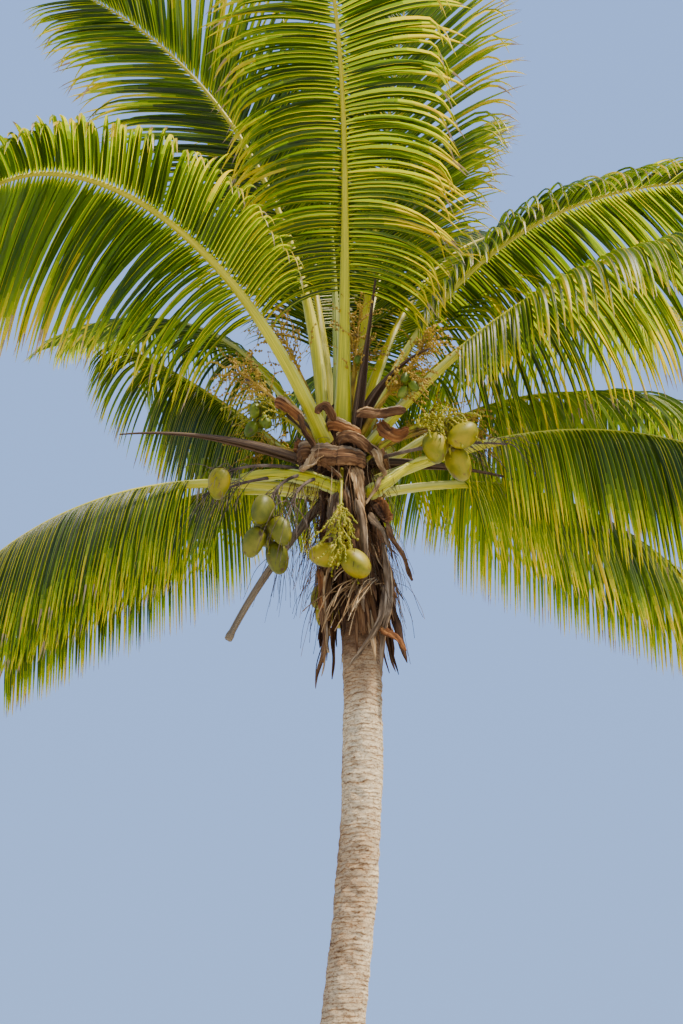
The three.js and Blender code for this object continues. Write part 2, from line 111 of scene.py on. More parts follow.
class Finish(Nodes):
    """A new material, which paint gives its colour and its bumps."""

    def __init__(self, name, roughness, specular):
        self.material = bpy.data.materials.new(name)
        self.material.use_nodes = True
        super().__init__(self.material.node_tree)
        self.shader = self.tree.nodes["Principled BSDF"]
        self.shader.inputs["Roughness"].default_value = roughness
        self.shader.inputs["Specular IOR Level"].default_value = specular

    def paint(self, colour, height, depth, strength=0.6):
        bump = self.add("Bump", Height=height, Distance=depth, Strength=strength)
        self.tree.links.new(colour, self.shader.inputs["Base Color"])
        self.tree.links.new(bump.outputs[0], self.shader.inputs["Normal"])
        return self.material


def mottled(name, colours, scale, roughness, depth, fine, stretch=(1, 1, 1), on="Object", specular=0.3):
    """Near colours mixed by a noise, with finer bumps of the same grain."""
    finish = Finish(name, roughness, specular)
    places = np.linspace(0.32, 0.68, len(colours))
    colour = finish.ramp(finish.noise(scale, 5, stretch, on=on), list(zip(places, colours)))
    return finish.paint(colour, finish.noise(fine, 6, stretch, 0.65, on), depth)


# %% [markdown]
# ## Camera, light and floor
#
# The palm is seen from below: the eye is at head height, almost eleven metres away, and looks up by
# 25 degrees. A normal lens, 50 mm on a 36 mm tall picture, keeps the fronds that come forward from
# looking stretched. The light is a pale sky, dimmer near the ground, and one broad sun high on the front
# right, because a leaf shows its folds, and lets light through, only where light comes from one side.

# %% Camera
EYE, LOOK_UP = (0.60, -10.8, 1.6), 25
FOCAL_LENGTH, PICTURE_HEIGHT = 50, 36


def placed(name, data):
    """An object with this data, put into the scene."""
    made = bpy.data.objects.new(name, data)
    bpy.context.scene.collection.objects.link(made)
    return made


lens = bpy.data.cameras.new("eye")
lens.sensor_fit = "VERTICAL"
lens.sensor_height = PICTURE_HEIGHT
lens.lens = FOCAL_LENGTH
eye = placed("eye", lens)
eye.location = EYE
eye.rotation_euler = (np.radians(90 + LOOK_UP), 0, 0)
bpy.context.scene.camera = eye

# %% Light
SKY_LOW, SKY_HIGH, SKY_STRENGTH = (0.36, 0.56, 1.0), (0.28, 0.48, 1.0), 1.2
SUN_HEADING, SUN_RISE, SUN_WIDTH = -26, 62, 4
SUN_COLOUR, SUN_STRENGTH = (1.0, 0.92, 0.74), 8.8

sky = bpy.data.worlds.new("pale_sky")
sky.use_nodes = True
heavens = Nodes(sky.node_tree)
gradient = heavens.ramp(heavens.axes("Generated")[2], [(0, SKY_LOW), (1, SKY_HIGH)])
background = sky.node_tree.nodes["Background"].inputs
sky.node_tree.links.new(gradient, background["Color"])
background["Strength"].default_value = SKY_STRENGTH
bpy.context.scene.world = sky

sun_light = bpy.data.lights.new("broad_sun", "SUN")
sun_light.energy, sun_light.angle, sun_light.color = SUN_STRENGTH, np.radians(SUN_WIDTH), SUN_COLOUR
sun = placed("broad_sun", sun_light)
sun.rotation_euler = (np.radians(90 - SUN_RISE), 0, np.radians(SUN_HEADING + 90))

# %% Floor
FLOOR_HALF = 160

floor_mesh = bpy.data.meshes.new("floor")
square = [(x * FLOOR_HALF, y * FLOOR_HALF, 0) for x, y in ((-1, -1), (1, -1), (1, 1), (-1, 1))]
floor_mesh.from_pydata(square, [], [(0, 1, 2, 3)])
floor_finish = Finish("pale_floor", 0.9, 0.5)
floor_finish.shader.inputs["Base Color"].default_value = (0.50, 0.50, 0.48, 1)
floor_mesh.materials.append(floor_finish.material)
floor = placed("floor", floor_mesh)

# %% [markdown]
# ## From arrays to a mesh
#
# A palm has thousands of leaflets and threads, so nothing here is modelled one at a time. Every shape is
# a grid of points, worked out as one array: many shapes at once, each with its rows and columns. Two
# small helpers turn such a grid into faces. `open_faces` makes a sheet of it, such as a leaflet.
# `closed_faces` joins the last column to the first and caps both ends, as on a stalk. `piece` puts the
# arrays into a Blender mesh in one go, which is far quicker than adding faces one by one.


# %% Faces of a grid
def open_faces(shapes, rows, columns):
    """Quads of sheets: point (row, column) joins (row, column+1), (row+1, column+1), (row+1, column)."""
    number = np.arange(shapes * rows * columns).reshape(shapes, rows, columns)
    corners = [number[:, :-1, :-1], number[:, :-1, 1:], number[:, 1:, 1:], number[:, 1:, :-1]]
    return np.stack(corners, axis=-1).reshape(-1, 4)


def closed_faces(shapes, rows, columns):
    """Quads of tubes, whose last column joins the first, and one cap of all columns at each end."""
    number = np.arange(shapes * rows * columns).reshape(shapes, rows, columns)
    after = np.roll(number, -1, axis=2)
    corners = [number[:, :-1], after[:, :-1], after[:, 1:], number[:, 1:]]
    walls = np.stack(corners, axis=-1).reshape(-1, 4)
    caps = np.concatenate([number[:, 0, ::-1], number[:, -1]])
    return walls, caps


# %% A piece from arrays
made_pieces = {}


def piece(name, points, faces, finishes, slot, which=None, uv=None, replaces=()):
    """One object. faces is a list of arrays of corner numbers, which gives each face's finish, and uv is
    a pair of values for each point, or a map that every shape shares, dealt out to the corners."""
    mesh = bpy.data.meshes.new(name)
    grid = np.shape(points)[:-1]
    points = np.asarray(points, np.float32).reshape(-1, 3)
    corners = np.concatenate([part.ravel() for part in faces]).astype(np.int32)
    sizes = np.concatenate([np.full(len(part), part.shape[1]) for part in faces])
    mesh.vertices.add(len(points))
    mesh.vertices.foreach_set("co", points.ravel())
    mesh.loops.add(len(corners))
    mesh.loops.foreach_set("vertex_index", corners)
    mesh.polygons.add(len(sizes))
    mesh.polygons.foreach_set("loop_start", (np.cumsum(sizes) - sizes).astype(np.int32))
    for finish in finishes:
        mesh.materials.append(finish)
    if which is not None:
        mesh.polygons.foreach_set("material_index", np.asarray(which, np.int32))
    mesh.polygons.foreach_set("use_smooth", np.full(len(sizes), True))
    if uv is not None:
        layer = mesh.uv_layers.new(name="surface")
        uv = np.broadcast_to(uv, (*grid, 2)).astype(np.float32).reshape(-1, 2)
        layer.data.foreach_set("uv", uv[corners].ravel())
    mesh.update(calc_edges=True)
    made = placed(name, mesh)
    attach(made, "root")
    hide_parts(*replaces)
    made_pieces[name] = int((sizes - 2).sum())
    print(f"{name}: {made_pieces[name]} triangles")


def closed_piece(name, rings, finishes, slot, dealt=None, **others):
    """A piece of capped tubes, one for each entry of rings; dealt is the finish of each tube."""
    walls, caps = closed_faces(*rings.shape[:3])
    if dealt is not None:
        others["which"] = np.concatenate([np.repeat(dealt, len(walls) // len(rings)), np.tile(dealt, 2)])
    piece(name, rings, [walls, caps], finishes, slot, **others)


# %% Small tools for grids and directions
DOWN = np.array([0.0, 0.0, -1.0])
LAP = 2 * np.pi


def mix(a, b, share):
    return a + (b - a) * share


def turns(count):
    """Even angles once round."""
    return np.arange(count) / count * LAP


def outward(turn):
    """The level direction at an angle from +X."""
    return np.stack([np.cos(turn), np.sin(turn), 0 * turn], axis=-1)


def unit(vectors):
    """Each vector divided by its own length."""
    return vectors / np.maximum(np.linalg.norm(vectors, axis=-1, keepdims=True), 1e-9)


def squared(vectors, line):
    """Each vector, tilted until it stands square on the line."""
    return unit(vectors - line * np.sum(vectors * line, axis=-1, keepdims=True))


def rolled(first, second, angle):
    """Two directions, turned together from the first towards the second."""
    return first * np.cos(angle) + second * np.sin(angle), second * np.cos(angle) - first * np.sin(angle)


def walk(start, steps):
    """From each start, the places that its steps lead to, one after the other."""
    none = np.zeros((len(start), 1, 3))
    return start[:, None] + np.concatenate([none, np.cumsum(steps, axis=1)], axis=1)


def sections(line, across, above):
    """Rings on a line, each point so far across it and so far above it."""
    place, _, side, up = line
    return place[:, None] + across[..., None] * side[:, None] + above[..., None] * up[:, None]


def grid_map(first, second):
    """A pair of values for each point of a grid."""
    return np.stack(np.broadcast_arrays(first, second), axis=-1)


def waves(seed, turn, height, finest, longest, count=24):
    """Smooth bumps round a stem, about -1 to 1: the mean of cosines with whole turns round the stem, so
    that the seam closes, and with random wave lengths up it."""
    rng = np.random.default_rng(seed)
    around = rng.integers(0, finest + 1, count)
    up = rng.uniform(-1, 1, count) * LAP / longest
    phase = rng.uniform(0, LAP, count)
    return sum(np.cos(a * turn + k * height + p) for a, k, p in zip(around, up, phase)) / np.sqrt(count)


# %% [markdown]
# ## The palm's own rule
#
# The trunk follows one curve, the heart sits on its top, and everything else is a limb that leaves the
# heart at a heading and a rise, and bends down towards its tip. The frame was made by this rule, so the
# same rule, with the same values, puts each fine piece exactly on its solid. A limb's six values are its
# heading, its rise at the base, how far it bends down by the tip (all in degrees), its length, the height
# of its seat over the crown point, and how far it sways sideways. A heading of 0 is +X, and -90 is
# towards the eye.

# %% Trunk axis and radius
AXIS_POINTS = np.array([(0, 0, 0), (0.72, 0.05, 2.3), (0.96, -0.05, 4.5), (0.6, 0, 7.05)])
TRUNK_SHARE = 0.96
TRUNK_RADIUS = 0.165
FOOT_FLARE, FOOT_FLARE_HEIGHT = 0.130, 0.330
BOLE_SWELL, BOLE_HEIGHT = 0.022, 1.2


def axis_curve(t):
    """The cubic curve: each of its four points weighted by its own share of t and 1-t."""
    t = np.asarray(t, float)[..., None]
    a, b, c, d = AXIS_POINTS
    return a * (1 - t) ** 3 + 3 * b * t * (1 - t) ** 2 + 3 * c * t * t * (1 - t) + d * t**3


AXIS_SAMPLES = axis_curve(np.linspace(0, 1, 2001))
CROWN = AXIS_POINTS[3]
TRUNK_TOP = axis_curve(TRUNK_SHARE)


def axis_at(z):
    """The point of the trunk's axis at a height, read between close samples of the curve."""
    x, y = (np.interp(z, AXIS_SAMPLES[:, 2], AXIS_SAMPLES[:, k]) for k in range(2))
    return np.stack([x, y, np.broadcast_to(z, x.shape)], axis=-1)


def trunk_radius(z):
    """A slim even stem, plus a flare that dies away above the foot, plus a low swell."""
    flare = FOOT_FLARE * np.exp(-z / FOOT_FLARE_HEIGHT)
    return TRUNK_RADIUS + flare + BOLE_SWELL * np.exp(-(((z - BOLE_HEIGHT) / BOLE_HEIGHT) ** 2))


# %% Heart
HEART_FOOT = TRUNK_TOP[2] - CROWN[2] + 0.0003
HEART_LIFTS = np.array([HEART_FOOT, -0.2, 0, 0.15, 0.3, 0.43, 0.54, 0.6])
HEART_RADII = np.array([0.172, 0.205, 0.21, 0.2, 0.175, 0.145, 0.095, 0.04])


def heart_radius(lift):
    return np.interp(lift, HEART_LIFTS, HEART_RADII)


def heart_centre(lift):
    """On the line from the trunk's top to the crown point below it, and plumb above it."""
    share = np.clip((CROWN[2] + lift - TRUNK_TOP[2]) / (CROWN[2] - TRUNK_TOP[2]), 0, 1)
    centre = TRUNK_TOP + (CROWN - TRUNK_TOP) * np.asarray(share)[..., None]
    centre[..., 2] = CROWN[2] + lift
    return centre


# %% A limb's line
SEAT_DEPTH = 0.85
BOW = 1.4
LIMB_STEPS = 48


def limb(values, u):
    """Places and directions at the shares u of a limb. Its elevation is rise - bend * u^1.4 and its
    heading is heading + sway * u^2; its places add up 48 short straight steps."""
    heading, rise, bend, length, lift, sway = values[:6]

    def direction(at):
        turn = np.radians(heading + sway * at * at)
        climb = np.radians(rise - bend * at**BOW)
        level = np.cos(climb)
        along = np.stack([level * np.cos(turn), level * np.sin(turn), np.sin(climb)], axis=-1)
        return along, np.cross(-DOWN, outward(turn))

    seat = SEAT_DEPTH * heart_radius(lift)
    start = heart_centre(np.array(lift)) + seat * outward(np.radians(heading))
    steps, _ = direction((np.arange(LIMB_STEPS) + 0.5) / LIMB_STEPS)
    places = start + np.concatenate([np.zeros((1, 3)), np.cumsum(steps, axis=0)]) * length / LIMB_STEPS
    knots = np.arange(LIMB_STEPS + 1) / LIMB_STEPS
    place = np.stack([np.interp(u, knots, places[:, k]) for k in range(3)], axis=-1)
    along, side = direction(u)
    return place, along, side, np.cross(along, side)


# %% [markdown]
# ## Bark
#
# A palm has no growth rings inside and no true bark: its stem shows the scar of every leaf that it has
# dropped, one narrow ring every few centimetres, and short cracks between them. From a step away the
# rings are what is seen, and they also break the outline, so they are made as real relief and not only
# painted. Height and angle give a grid round the trunk's axis. A phase counts the rings: it grows with
# height, and slow waves bend it, so that rings run a little crooked and are not all as wide. Inside each
# ring the radius jumps out at a lip and falls back slowly. The same phase is stored as the map's second
# value, so that the colour falls in the same grooves as the relief.

# %% Ring scars
RING_SPACING, RING_RELIEF = 0.036, 0.0055
BARK_INSET = 0.011  # keeps the lips within the trunk's solid
BARK_ROWS, BARK_SIDES = 900, 92

bark_z = np.linspace(0, TRUNK_TOP[2], BARK_ROWS)[:, None]
bark_turn = turns(BARK_SIDES)[None, :]
uneven = 0.55 * waves(3, 0 * bark_turn, bark_z, 0, 0.22) + 0.20 * waves(4, bark_turn, bark_z, 3, 0.5)
bark_phase = bark_z / RING_SPACING + uneven + 0.12 * waves(5, bark_turn, bark_z, 14, 0.07)
in_ring = bark_phase % 1
lip = np.exp(-in_ring * 3.2) * (1 - np.exp(-in_ring / 0.07))
ring_strength = 0.8 + 0.9 * waves(6, bark_turn, bark_z, 7, 0.10)
lumps = 0.0045 * waves(7, bark_turn, bark_z, 9, 0.10) + 0.007 * waves(8, bark_turn, bark_z, 3, 0.8)
foot_fade = np.clip(bark_z / 0.05, 0, 1)
bark_radius = trunk_radius(bark_z) - BARK_INSET + foot_fade * (RING_RELIEF * ring_strength * lip + lumps)
bark_points = axis_at(bark_z[:, 0])[:, None] + bark_radius[..., None] * outward(bark_turn)
print("rings up the trunk:", int(bark_phase[-1].mean()))

# %% Bark finish
bark = Finish("ringed_bark", 0.9, 0.2)
ground = bark.ramp(
    bark.noise(1.5, 6, (1, 1, 0.8), 0.6),
    [(0.34, (0.40, 0.24, 0.115)), (0.47, (0.68, 0.47, 0.255)), (0.60, (0.92, 0.71, 0.42))],
)
scars = bark.ramp(
    bark.math("FRACT", bark.axes("UV")[1]),
    [(0, (0.40, 0.28, 0.20)), (0.07, (0.80, 0.68, 0.56)), (0.20, 1)]
    + [(0.72, (0.94, 0.88, 0.80)), (0.90, (0.74, 0.62, 0.50)), (0.97, (0.28, 0.18, 0.12))],
)
broken = bark.ramp(bark.noise(7, 6, (1, 1, 3), 0.7), [(0.40, 0.25), (0.58, 1)])
cracks = bark.ramp(bark.noise(9, 8, (1, 1, 4.5), 0.72), [(0.38, (0.30, 0.20, 0.13)), (0.50, 1)])
crumbs = bark.ramp(bark.noise(42, 6, (1, 1, 1.9), 0.75), [(0.41, (0.34, 0.22, 0.15)), (0.50, 1)])
for share, marks in ((broken, scars), (0.60, cracks), (0.80, crumbs)):
    ground = bark.blend(share, ground, marks, "MULTIPLY")
# painted shadow: the stem is darkened red-brown just below the skirt, where the skirt's shade falls on it,
# broken into patches by a noise
painted_skirt_shadow = bark.between(bark.axes("Object")[2], 4.85, 5.5, 0, 0.88)
shadow_patches = bark.ramp(bark.noise(5, 5, (1, 1, 0.5), 0.65), [(0.36, 0.35), (0.56, 1)])
ground = bark.blend(bark.math("MULTIPLY", painted_skirt_shadow, shadow_patches), ground, (0.120, 0.052, 0.022))
ringed_bark = bark.paint(ground, bark.noise(34, 8, (1, 1, 2.2), 0.75), 0.012, 0.9)

bark_map = grid_map(bark_turn / LAP, bark_phase)
closed_piece("bark", bark_points[None], [ringed_bark], "ringed_bark", uv=bark_map, replaces=["trunk"])

# %% [markdown]
# ## The values of every frond
#
# These are the frame's own values, in degrees and metres, so the dressed palm and its solids stay one
# tree. After a limb's six values comes the twist: how far the frond turns about its own rib on the way out
# to its first leaflets, so that some fronds show their faces and some their edges.

# %% Fronds
FRONDS = {
    "frond_front": (-86, 80, 45, 5.2, 0.28, -30, 0),
    "frond_left_arching": (-130, 51, 137, 5.2, 0.12, 3, 15),
    "frond_left_high": (-169, 85, 52, 5.4, 0.36, -10, 85),
    "frond_right_upright": (-15, 85, 4, 5.2, 0.40, 0, 80),
    "frond_right_high": (5, 69, 75, 5.2, 0.265, 0, 0),
    "frond_right_arching": (-12, 50, 76, 5.2, 0.13, 0, 0),
    "frond_right_low": (-4, 24, 98, 5.0, -0.17, 0, 0),
    "frond_left_low": (174, 13, 108, 4.8, -0.22, 6, 0),
    "frond_left_drooping": (138, 44, 8, 4.2, -0.07, -12, 0),
    "frond_rear_upright": (56, 78, 32, 5.2, 0.41, 0, 0),
    "frond_rear_left": (138, 60, 60, 5.2, 0.13, 0, -15),
}
REAR_WHORLS = {
    "frond_rear_upper": ([124], 82, 28, 5.0, 0.38, 0, 0),
    "frond_rear_inner": ([50, 92], 71, 46, 5.2, 0.25, 0, 20),
    "frond_rear_middle": ([36, 84], 58, 56, 5.2, 0.12, 0, 0),
    "frond_rear_lower": ([30, 66, 106], 44, 58, 4.9, -0.07, 0, 0),
    "frond_rear_side": ([31, 141], 24, 74, 4.6, -0.22, 0, 0),
}
WIDE_BEND = 70  # a frond that bends more than this is two nodes in the frame
PETIOLE = 0.24

for name, (headings, *shared) in REAR_WHORLS.items():
    for number, heading in enumerate(headings, 1):
        FRONDS[f"{name}_{number}"] = (heading, *shared)


def frond_nodes(names):
    """The frame's nodes of these fronds."""
    parts = {name: ["_base", "_tip"] if FRONDS[name][2] >= WIDE_BEND else [""] for name in names}
    return [name + part for name in names for part in parts[name]]


def frond_line(values, u):
    """The limb's line, whose side and upper side turn about it by the twist, in full past the petiole."""
    place, along, side, up = limb(values, u)
    turn = np.radians(values[6]) * np.minimum(1, u / PETIOLE)[..., None]
    return place, along, *rolled(side, up, turn)


print("fronds:", len(FRONDS))

# %% [markdown]
# ## Petioles and ribs
#
# The stalk of a frond clasps the heart with a broad base, narrows to a bare petiole, and runs on as the
# rib that carries the leaflets. Its outer side is round and its inner side is a shallow channel, which
# turns into a ridge further out. It could be a curve with a bevel, but a bevel has one section only. A
# section that changes on the way is easier as a grid: stations along the limb, and angles round it.

# %% Rib section
RIB_SHARES = np.linspace(0, 1, 72) ** 1.25
RIB_SIDES = 16


def rib_width(u):
    """Slim at the tip, growing evenly towards the heart, with two bells of extra width: a long one for
    the petiole, and a short one where it clasps the heart."""
    bells = 0.058 * np.exp(-((u / 0.26) ** 2)) + 0.034 * np.exp(-((u / 0.05) ** 2))
    return 0.013 + 0.068 * (1 - u) + bells


def rib_rings(values):
    """Rings round a limb: the lower half is an ellipse, the upper half is the same ellipse pressed in
    along its middle near the base, and drawn up into a ridge further out."""
    u, turn = RIB_SHARES[:, None], turns(RIB_SIDES)
    width = rib_width(u)
    depth = width * mix(0.62, 0.95, np.clip(u / 0.5, 0, 1))
    channel = mix(1.25, -0.35, np.clip(u / 0.35, 0, 1))
    top = 0.42 * np.sin(turn) * (1 - channel * np.sin(turn) ** 2)
    above = np.where(turn < np.pi, top, 0.62 * np.sin(turn)) * depth
    return sections(frond_line(values, RIB_SHARES), 0.5 * np.cos(turn) * width, above)


# %% Petiole finish
stalk = Finish("waxy_petiole", 0.42, 0.35)
metres_out, share_round, _ = stalk.axes("UV")
edge = stalk.math("PINGPONG", share_round, 0.25)
green = stalk.ramp(
    stalk.noise(6, 5, (0.35, 7, 1), on="UV"),
    [(0.30, (0.27, 0.27, 0.003)), (0.50, (0.52, 0.45, 0.005)), (0.68, (0.74, 0.60, 0.012))],
)
green = stalk.blend(stalk.between(metres_out, 1.0, 4.6, 0, 0.65), green, (0.42, 0.30, 0.010))
# a pale band along both edges near the base: partly waxy bloom, partly a painted highlight
bloom_and_highlight = stalk.ramp(edge, [(0, 0.8), (0.07, 0.5), (0.11, 0)])
bloom_and_highlight = stalk.math("MULTIPLY", bloom_and_highlight, stalk.between(metres_out, 0.9, 2.2, 1, 0))
margin = stalk.ramp(edge, [(0, 1), (0.022, 0)])
margin = stalk.math("MULTIPLY", margin, stalk.between(metres_out, 0.1, 1.1, 0.9, 0))
spots = stalk.ramp(stalk.noise(9, 4, (1.3, 9, 1), 0.7, "UV"), [(0.69, 0), (0.75, 1)])
for share, colour in (
    (bloom_and_highlight, (0.52, 0.54, 0.17)),
    (margin, (0.10, 0.05, 0.025)),
    (spots, (0.12, 0.07, 0.03)),
):
    green = stalk.blend(share, green, colour)
petiole = stalk.paint(green, stalk.noise(8, 4, (0.3, 9, 1), on="UV"), 0.003, 0.5)

rib_round = np.arange(RIB_SIDES) / RIB_SIDES
closed_piece(
    "petioles_and_ribs",
    np.stack([rib_rings(values) for values in FRONDS.values()]),
    [petiole],
    "green_leaf",
    uv=np.stack([grid_map(RIB_SHARES[:, None] * values[3], rib_round) for values in FRONDS.values()]),
    replaces=frond_nodes(FRONDS),
)

# %% [markdown]
# ## Leaflets
#
# A frond carries about a hundred leaflets on each side. Each is a long strip, folded along its middle
# like a roof, that leaves the rib on a narrow foot, widens at once, bends down under its own weight and
# ends in a thin tip. The tip is the oldest part and turns gold first. On an upright frond leaflets stand
# out stiffly; on an old level one they fall like a curtain.
#
# One leaflet could be modelled and scattered, but then all would bend the same way, whatever the frond's
# slope. Here every leaflet finds its own line: its first direction comes from the rib, and gravity is
# added more and more towards its tip. Thousands of lines are one array, so this takes no time.
#
# A frond's habit has a value for its one side and one for its other side of three things: how much the
# leaflets hang, 0 for young stiff ones and 1 for old; by how many degrees they are lifted out of the
# frond's flat; and how long they are against the usual. Then comes their angle to the rib.

# %% Leaflet lines
LEAFLETS_PER_SIDE = 106
LEAFLET = 1.32
LEAFLET_STOPS = np.array([0, 0.03, 0.08, 0.17, 0.28, 0.39, 0.50, 0.60, 0.69, 0.77, 0.84, 0.90, 0.95, 1])
STOP_MIDDLES = (LEAFLET_STOPS[1:] + LEAFLET_STOPS[:-1]) / 2
MOST_HANG = 1.1
HABIT = {
    "frond_front": ((0.30, 0.36), (2, 2), (0.96, 1.0), 92),
    "frond_left_arching": ((0.22, 0.38), (14, -52), (0.74, 1.26), 72),
    "frond_left_high": ((0.08, 0.10), (-5, 14), (1.34, 1.1), 62),
    "frond_right_upright": ((0.10, 0.10), (10, 4), (1.2, 1.2), 66),
    "frond_right_high": ((0.14, 0.45), (-22, 26), (1.14, 0.62), 68),
    "frond_right_arching": ((0.46, 0.75), (-18, 16), (1.14, 0.72), 72),
    "frond_left_drooping": ((1.0, 1.0), (10, 10), (0.95, 0.95), 68),
    "frond_rear_left": ((0.5, 0.5), (6, 6), (0.74, 0.74), 60),
}


def usual_habit(rise):
    """The habit of a frond without one of its own: the lower it leaves the heart, the more it hangs."""
    hang = np.clip((82 - rise) / 50, 0.10, 1)
    return (hang, hang), (8, 8), (1, 1), 70


def leaflet_lines(values, habit, seed):
    """The middle line of every leaflet of a frond. A stiff leaflet stays straight and bends only near its
    end. The more it hangs, the sooner gravity turns it down: the pull grows as its share of the length
    to a power, and hang lowers that power. Its length is a sine along the rib, ^0.62."""
    rng = np.random.default_rng(seed)
    hand = np.repeat([1.0, -1.0], LEAFLETS_PER_SIDE)
    v = np.tile((np.arange(LEAFLETS_PER_SIDE) + 0.5) / LEAFLETS_PER_SIDE, 2)
    v = np.clip(v + rng.normal(0, 0.0012, v.size), 0.002, 0.998)
    u = PETIOLE + (1 - PETIOLE) * v
    place, along, side, up = frond_line(values, u)
    slack, lift, length = (np.where(hand > 0, *pair) for pair in habit[:3])
    out = np.radians(habit[3] - 32 * v + rng.normal(0, 1.1, v.size))
    lifted = np.radians(lift + rng.normal(0, 2.2, v.size))
    first = (
        along * np.cos(out)[:, None]
        + side * (hand * np.sin(out) * np.cos(lifted))[:, None]
        + up * (np.sin(out) * np.sin(lifted))[:, None]
    )
    usual_length = LEAFLET * np.sin(np.pi * mix(0.22, 0.88, v)) ** 0.62
    reach = usual_length * length * rng.uniform(0.91, 1.0, v.size)
    slow = 0.08 * np.sin(11 * v + rng.uniform(0, 6)) + rng.normal(0, 0.04, v.size)
    hang = np.clip(slack + slow * np.minimum(1, 0.3 + slack), 0, MOST_HANG)
    hang = np.minimum(hang * (1.6 - v), MOST_HANG)
    power = mix(2.0, 0.75, hang)[:, None]
    tip_fall = 8.0 * rng.random(v.size) ** 2.2 * np.clip(0.15 + 2.6 * hang, 0, 1)
    fall = (0.45 + 6.0 * hang**2)[:, None] * STOP_MIDDLES**power
    fall = fall + tip_fall[:, None] * np.clip((STOP_MIDDLES - 0.66) / 0.30, 0, 1) ** 1.5
    heading = unit(first[:, None] + fall[..., None] * DOWN)
    steps = heading * (np.diff(LEAFLET_STOPS)[None, :, None] * reach[:, None, None])
    foot = place + side * (hand * 0.36 * rib_width(u))[:, None] + up * (0.12 * rib_width(u))[:, None]
    return walk(foot, steps), along, hand, v, rng


# %% Leaflet strips
LEAF_WIDTH = 0.066
LEAF_FOLD = 37  # each half slopes down by this from the midrib
MIDRIB = 0.0034


def leaflet_strips(values, habit, seed):
    """Three strips for each leaflet: a narrow midrib between two half blades. The width grows from a
    quarter at the foot to full at a tenth of the way, and tapers to a point; the strip rolls a little."""
    line, along, hand, v, rng = leaflet_lines(values, habit, seed)
    t = LEAFLET_STOPS
    heading = unit(np.gradient(line, axis=1))
    across = squared(along[:, None], heading)
    above = np.cross(across, heading) * hand[:, None, None]
    roll = rng.normal(0, 5, v.size)[:, None] + rng.normal(0, 14, v.size)[:, None] * t
    across, above = rolled(across, above, np.radians(roll)[..., None])
    across = across * hand[:, None, None]
    widest = LEAF_WIDTH * (0.40 + 0.60 * np.sin(np.pi * mix(0.12, 0.88, v))) * rng.uniform(0.85, 1.1, v.size)
    shape = np.minimum(0.26 + 8.0 * t, 1) * np.clip(1 - t**2.6, 0.0, 1) ** 0.85 + 0.02
    half = 0.5 * widest[:, None] * shape
    fold = np.radians(LEAF_FOLD + rng.normal(0, 6, v.size))[:, None]
    level = (half * np.cos(fold))[..., None] * across
    below = (half * np.sin(fold))[..., None] * above
    rib = (MIDRIB * (1.15 - t))[None, :, None] * across
    edges = [line - level - below, line - rib, line + rib, line + level - below]
    strips = [np.stack([edges[k + 1], edges[k]], axis=2) for k in range(3)]
    return np.stack(strips, axis=1), v, rng


# %% [markdown]
# ### Colours of a leaflet
#
# A leaflet is deep green at the rib, lighter further out, gold near the tip and now and then dry and tan
# at its very end. Those colours have a place on the leaflet, so they are seven plain finishes, dealt out
# face by face, and not a picture. Light shines through a thin leaf and comes out yellower, so each finish
# mixes a glossy shader with a translucent one.


# %% Leaf finishes
def leaf_finish(name, dark, light, through, glow=0.54):
    """Gloss and colour on the face, mixed with light that passes through the leaf."""
    leaf = Finish(name, 0.36, 0.5)
    colour = leaf.ramp(leaf.noise(3.5, 3), [(0.35, dark), (0.65, light)])
    material = leaf.paint(colour, leaf.noise(5, 2, (0.4, 9, 1), on="UV"), 0.002, 0.5)
    passing = leaf.add("BsdfTranslucent", Color=(*through, 1))
    both = leaf.add("MixShader", i0=glow, i1=leaf.shader.outputs[0], i2=passing.outputs[0])
    leaf.tree.links.new(both.outputs[0], leaf.tree.nodes["Material Output"].inputs["Surface"])
    return material


leaf_colours = [
    leaf_finish("leaf_deep", (0.010, 0.022, 0.001), (0.024, 0.044, 0.001), (0.12, 0.18, 0.001)),
    leaf_finish("leaf_green", (0.026, 0.054, 0.001), (0.054, 0.096, 0.001), (0.22, 0.34, 0.001)),
    leaf_finish("leaf_fresh", (0.066, 0.115, 0.001), (0.115, 0.178, 0.002), (0.42, 0.55, 0.002)),
    leaf_finish("leaf_bright", (0.140, 0.200, 0.002), (0.230, 0.285, 0.004), (0.66, 0.72, 0.003)),
    leaf_finish("leaf_lime", (0.38, 0.35, 0.004), (0.52, 0.46, 0.008), (0.88, 0.78, 0.006)),
    leaf_finish("leaf_gold", (0.66, 0.45, 0.006), (0.86, 0.61, 0.012), (0.96, 0.70, 0.008)),
    leaf_finish("leaf_dry", (0.34, 0.21, 0.09), (0.52, 0.37, 0.19), (0.45, 0.30, 0.12), 0.2),
]
DEEP, GOLD, DRY = 0, 5, 6
# painted light on the fold: one half is painted darker as shade and the other lighter as lit, and the midrib
# paler, partly its own colour and partly a painted highlight
PAINTED_FOLD_LIGHT = np.array([-0.9, 2.9, 0.4])[None, :, None]  # shaded half, pale midrib, lit half


def leaflet_finishes(v, rng, age):
    """The finish of each face along the three strips of each leaflet. A slow wave along the rib and a
    little chance choose the green, lighter with age. Towards the tip a leaflet climbs step by step to
    gold, and each half on its own, so that gold often is only a streak beside the midrib; older fronds
    turn gold earlier."""
    tone = 0.75 + 0.32 * age + 0.5 * np.sin(9 * v + rng.uniform(0, 6)) + rng.normal(0, 0.30, v.size)
    starts = rng.normal(0.80 - 0.20 * age, 0.13, (v.size, 3, 1))
    starts = np.where(rng.random((v.size, 1, 1)) < 0.03 * age, 0.2, starts)
    climb = rng.uniform(7, 14, (v.size, 1, 1)) * np.clip(STOP_MIDDLES - starts, 0, 1)
    # each half and the midrib are shifted by their painted shade and painted highlight
    which = np.clip(np.round(tone[:, None, None] + climb + PAINTED_FOLD_LIGHT), DEEP, GOLD).astype(int)
    dried = rng.normal(1.05 - 0.07 * age, 0.07, (v.size, 1, 1))
    return np.where(STOP_MIDDLES > dried, DRY, which)


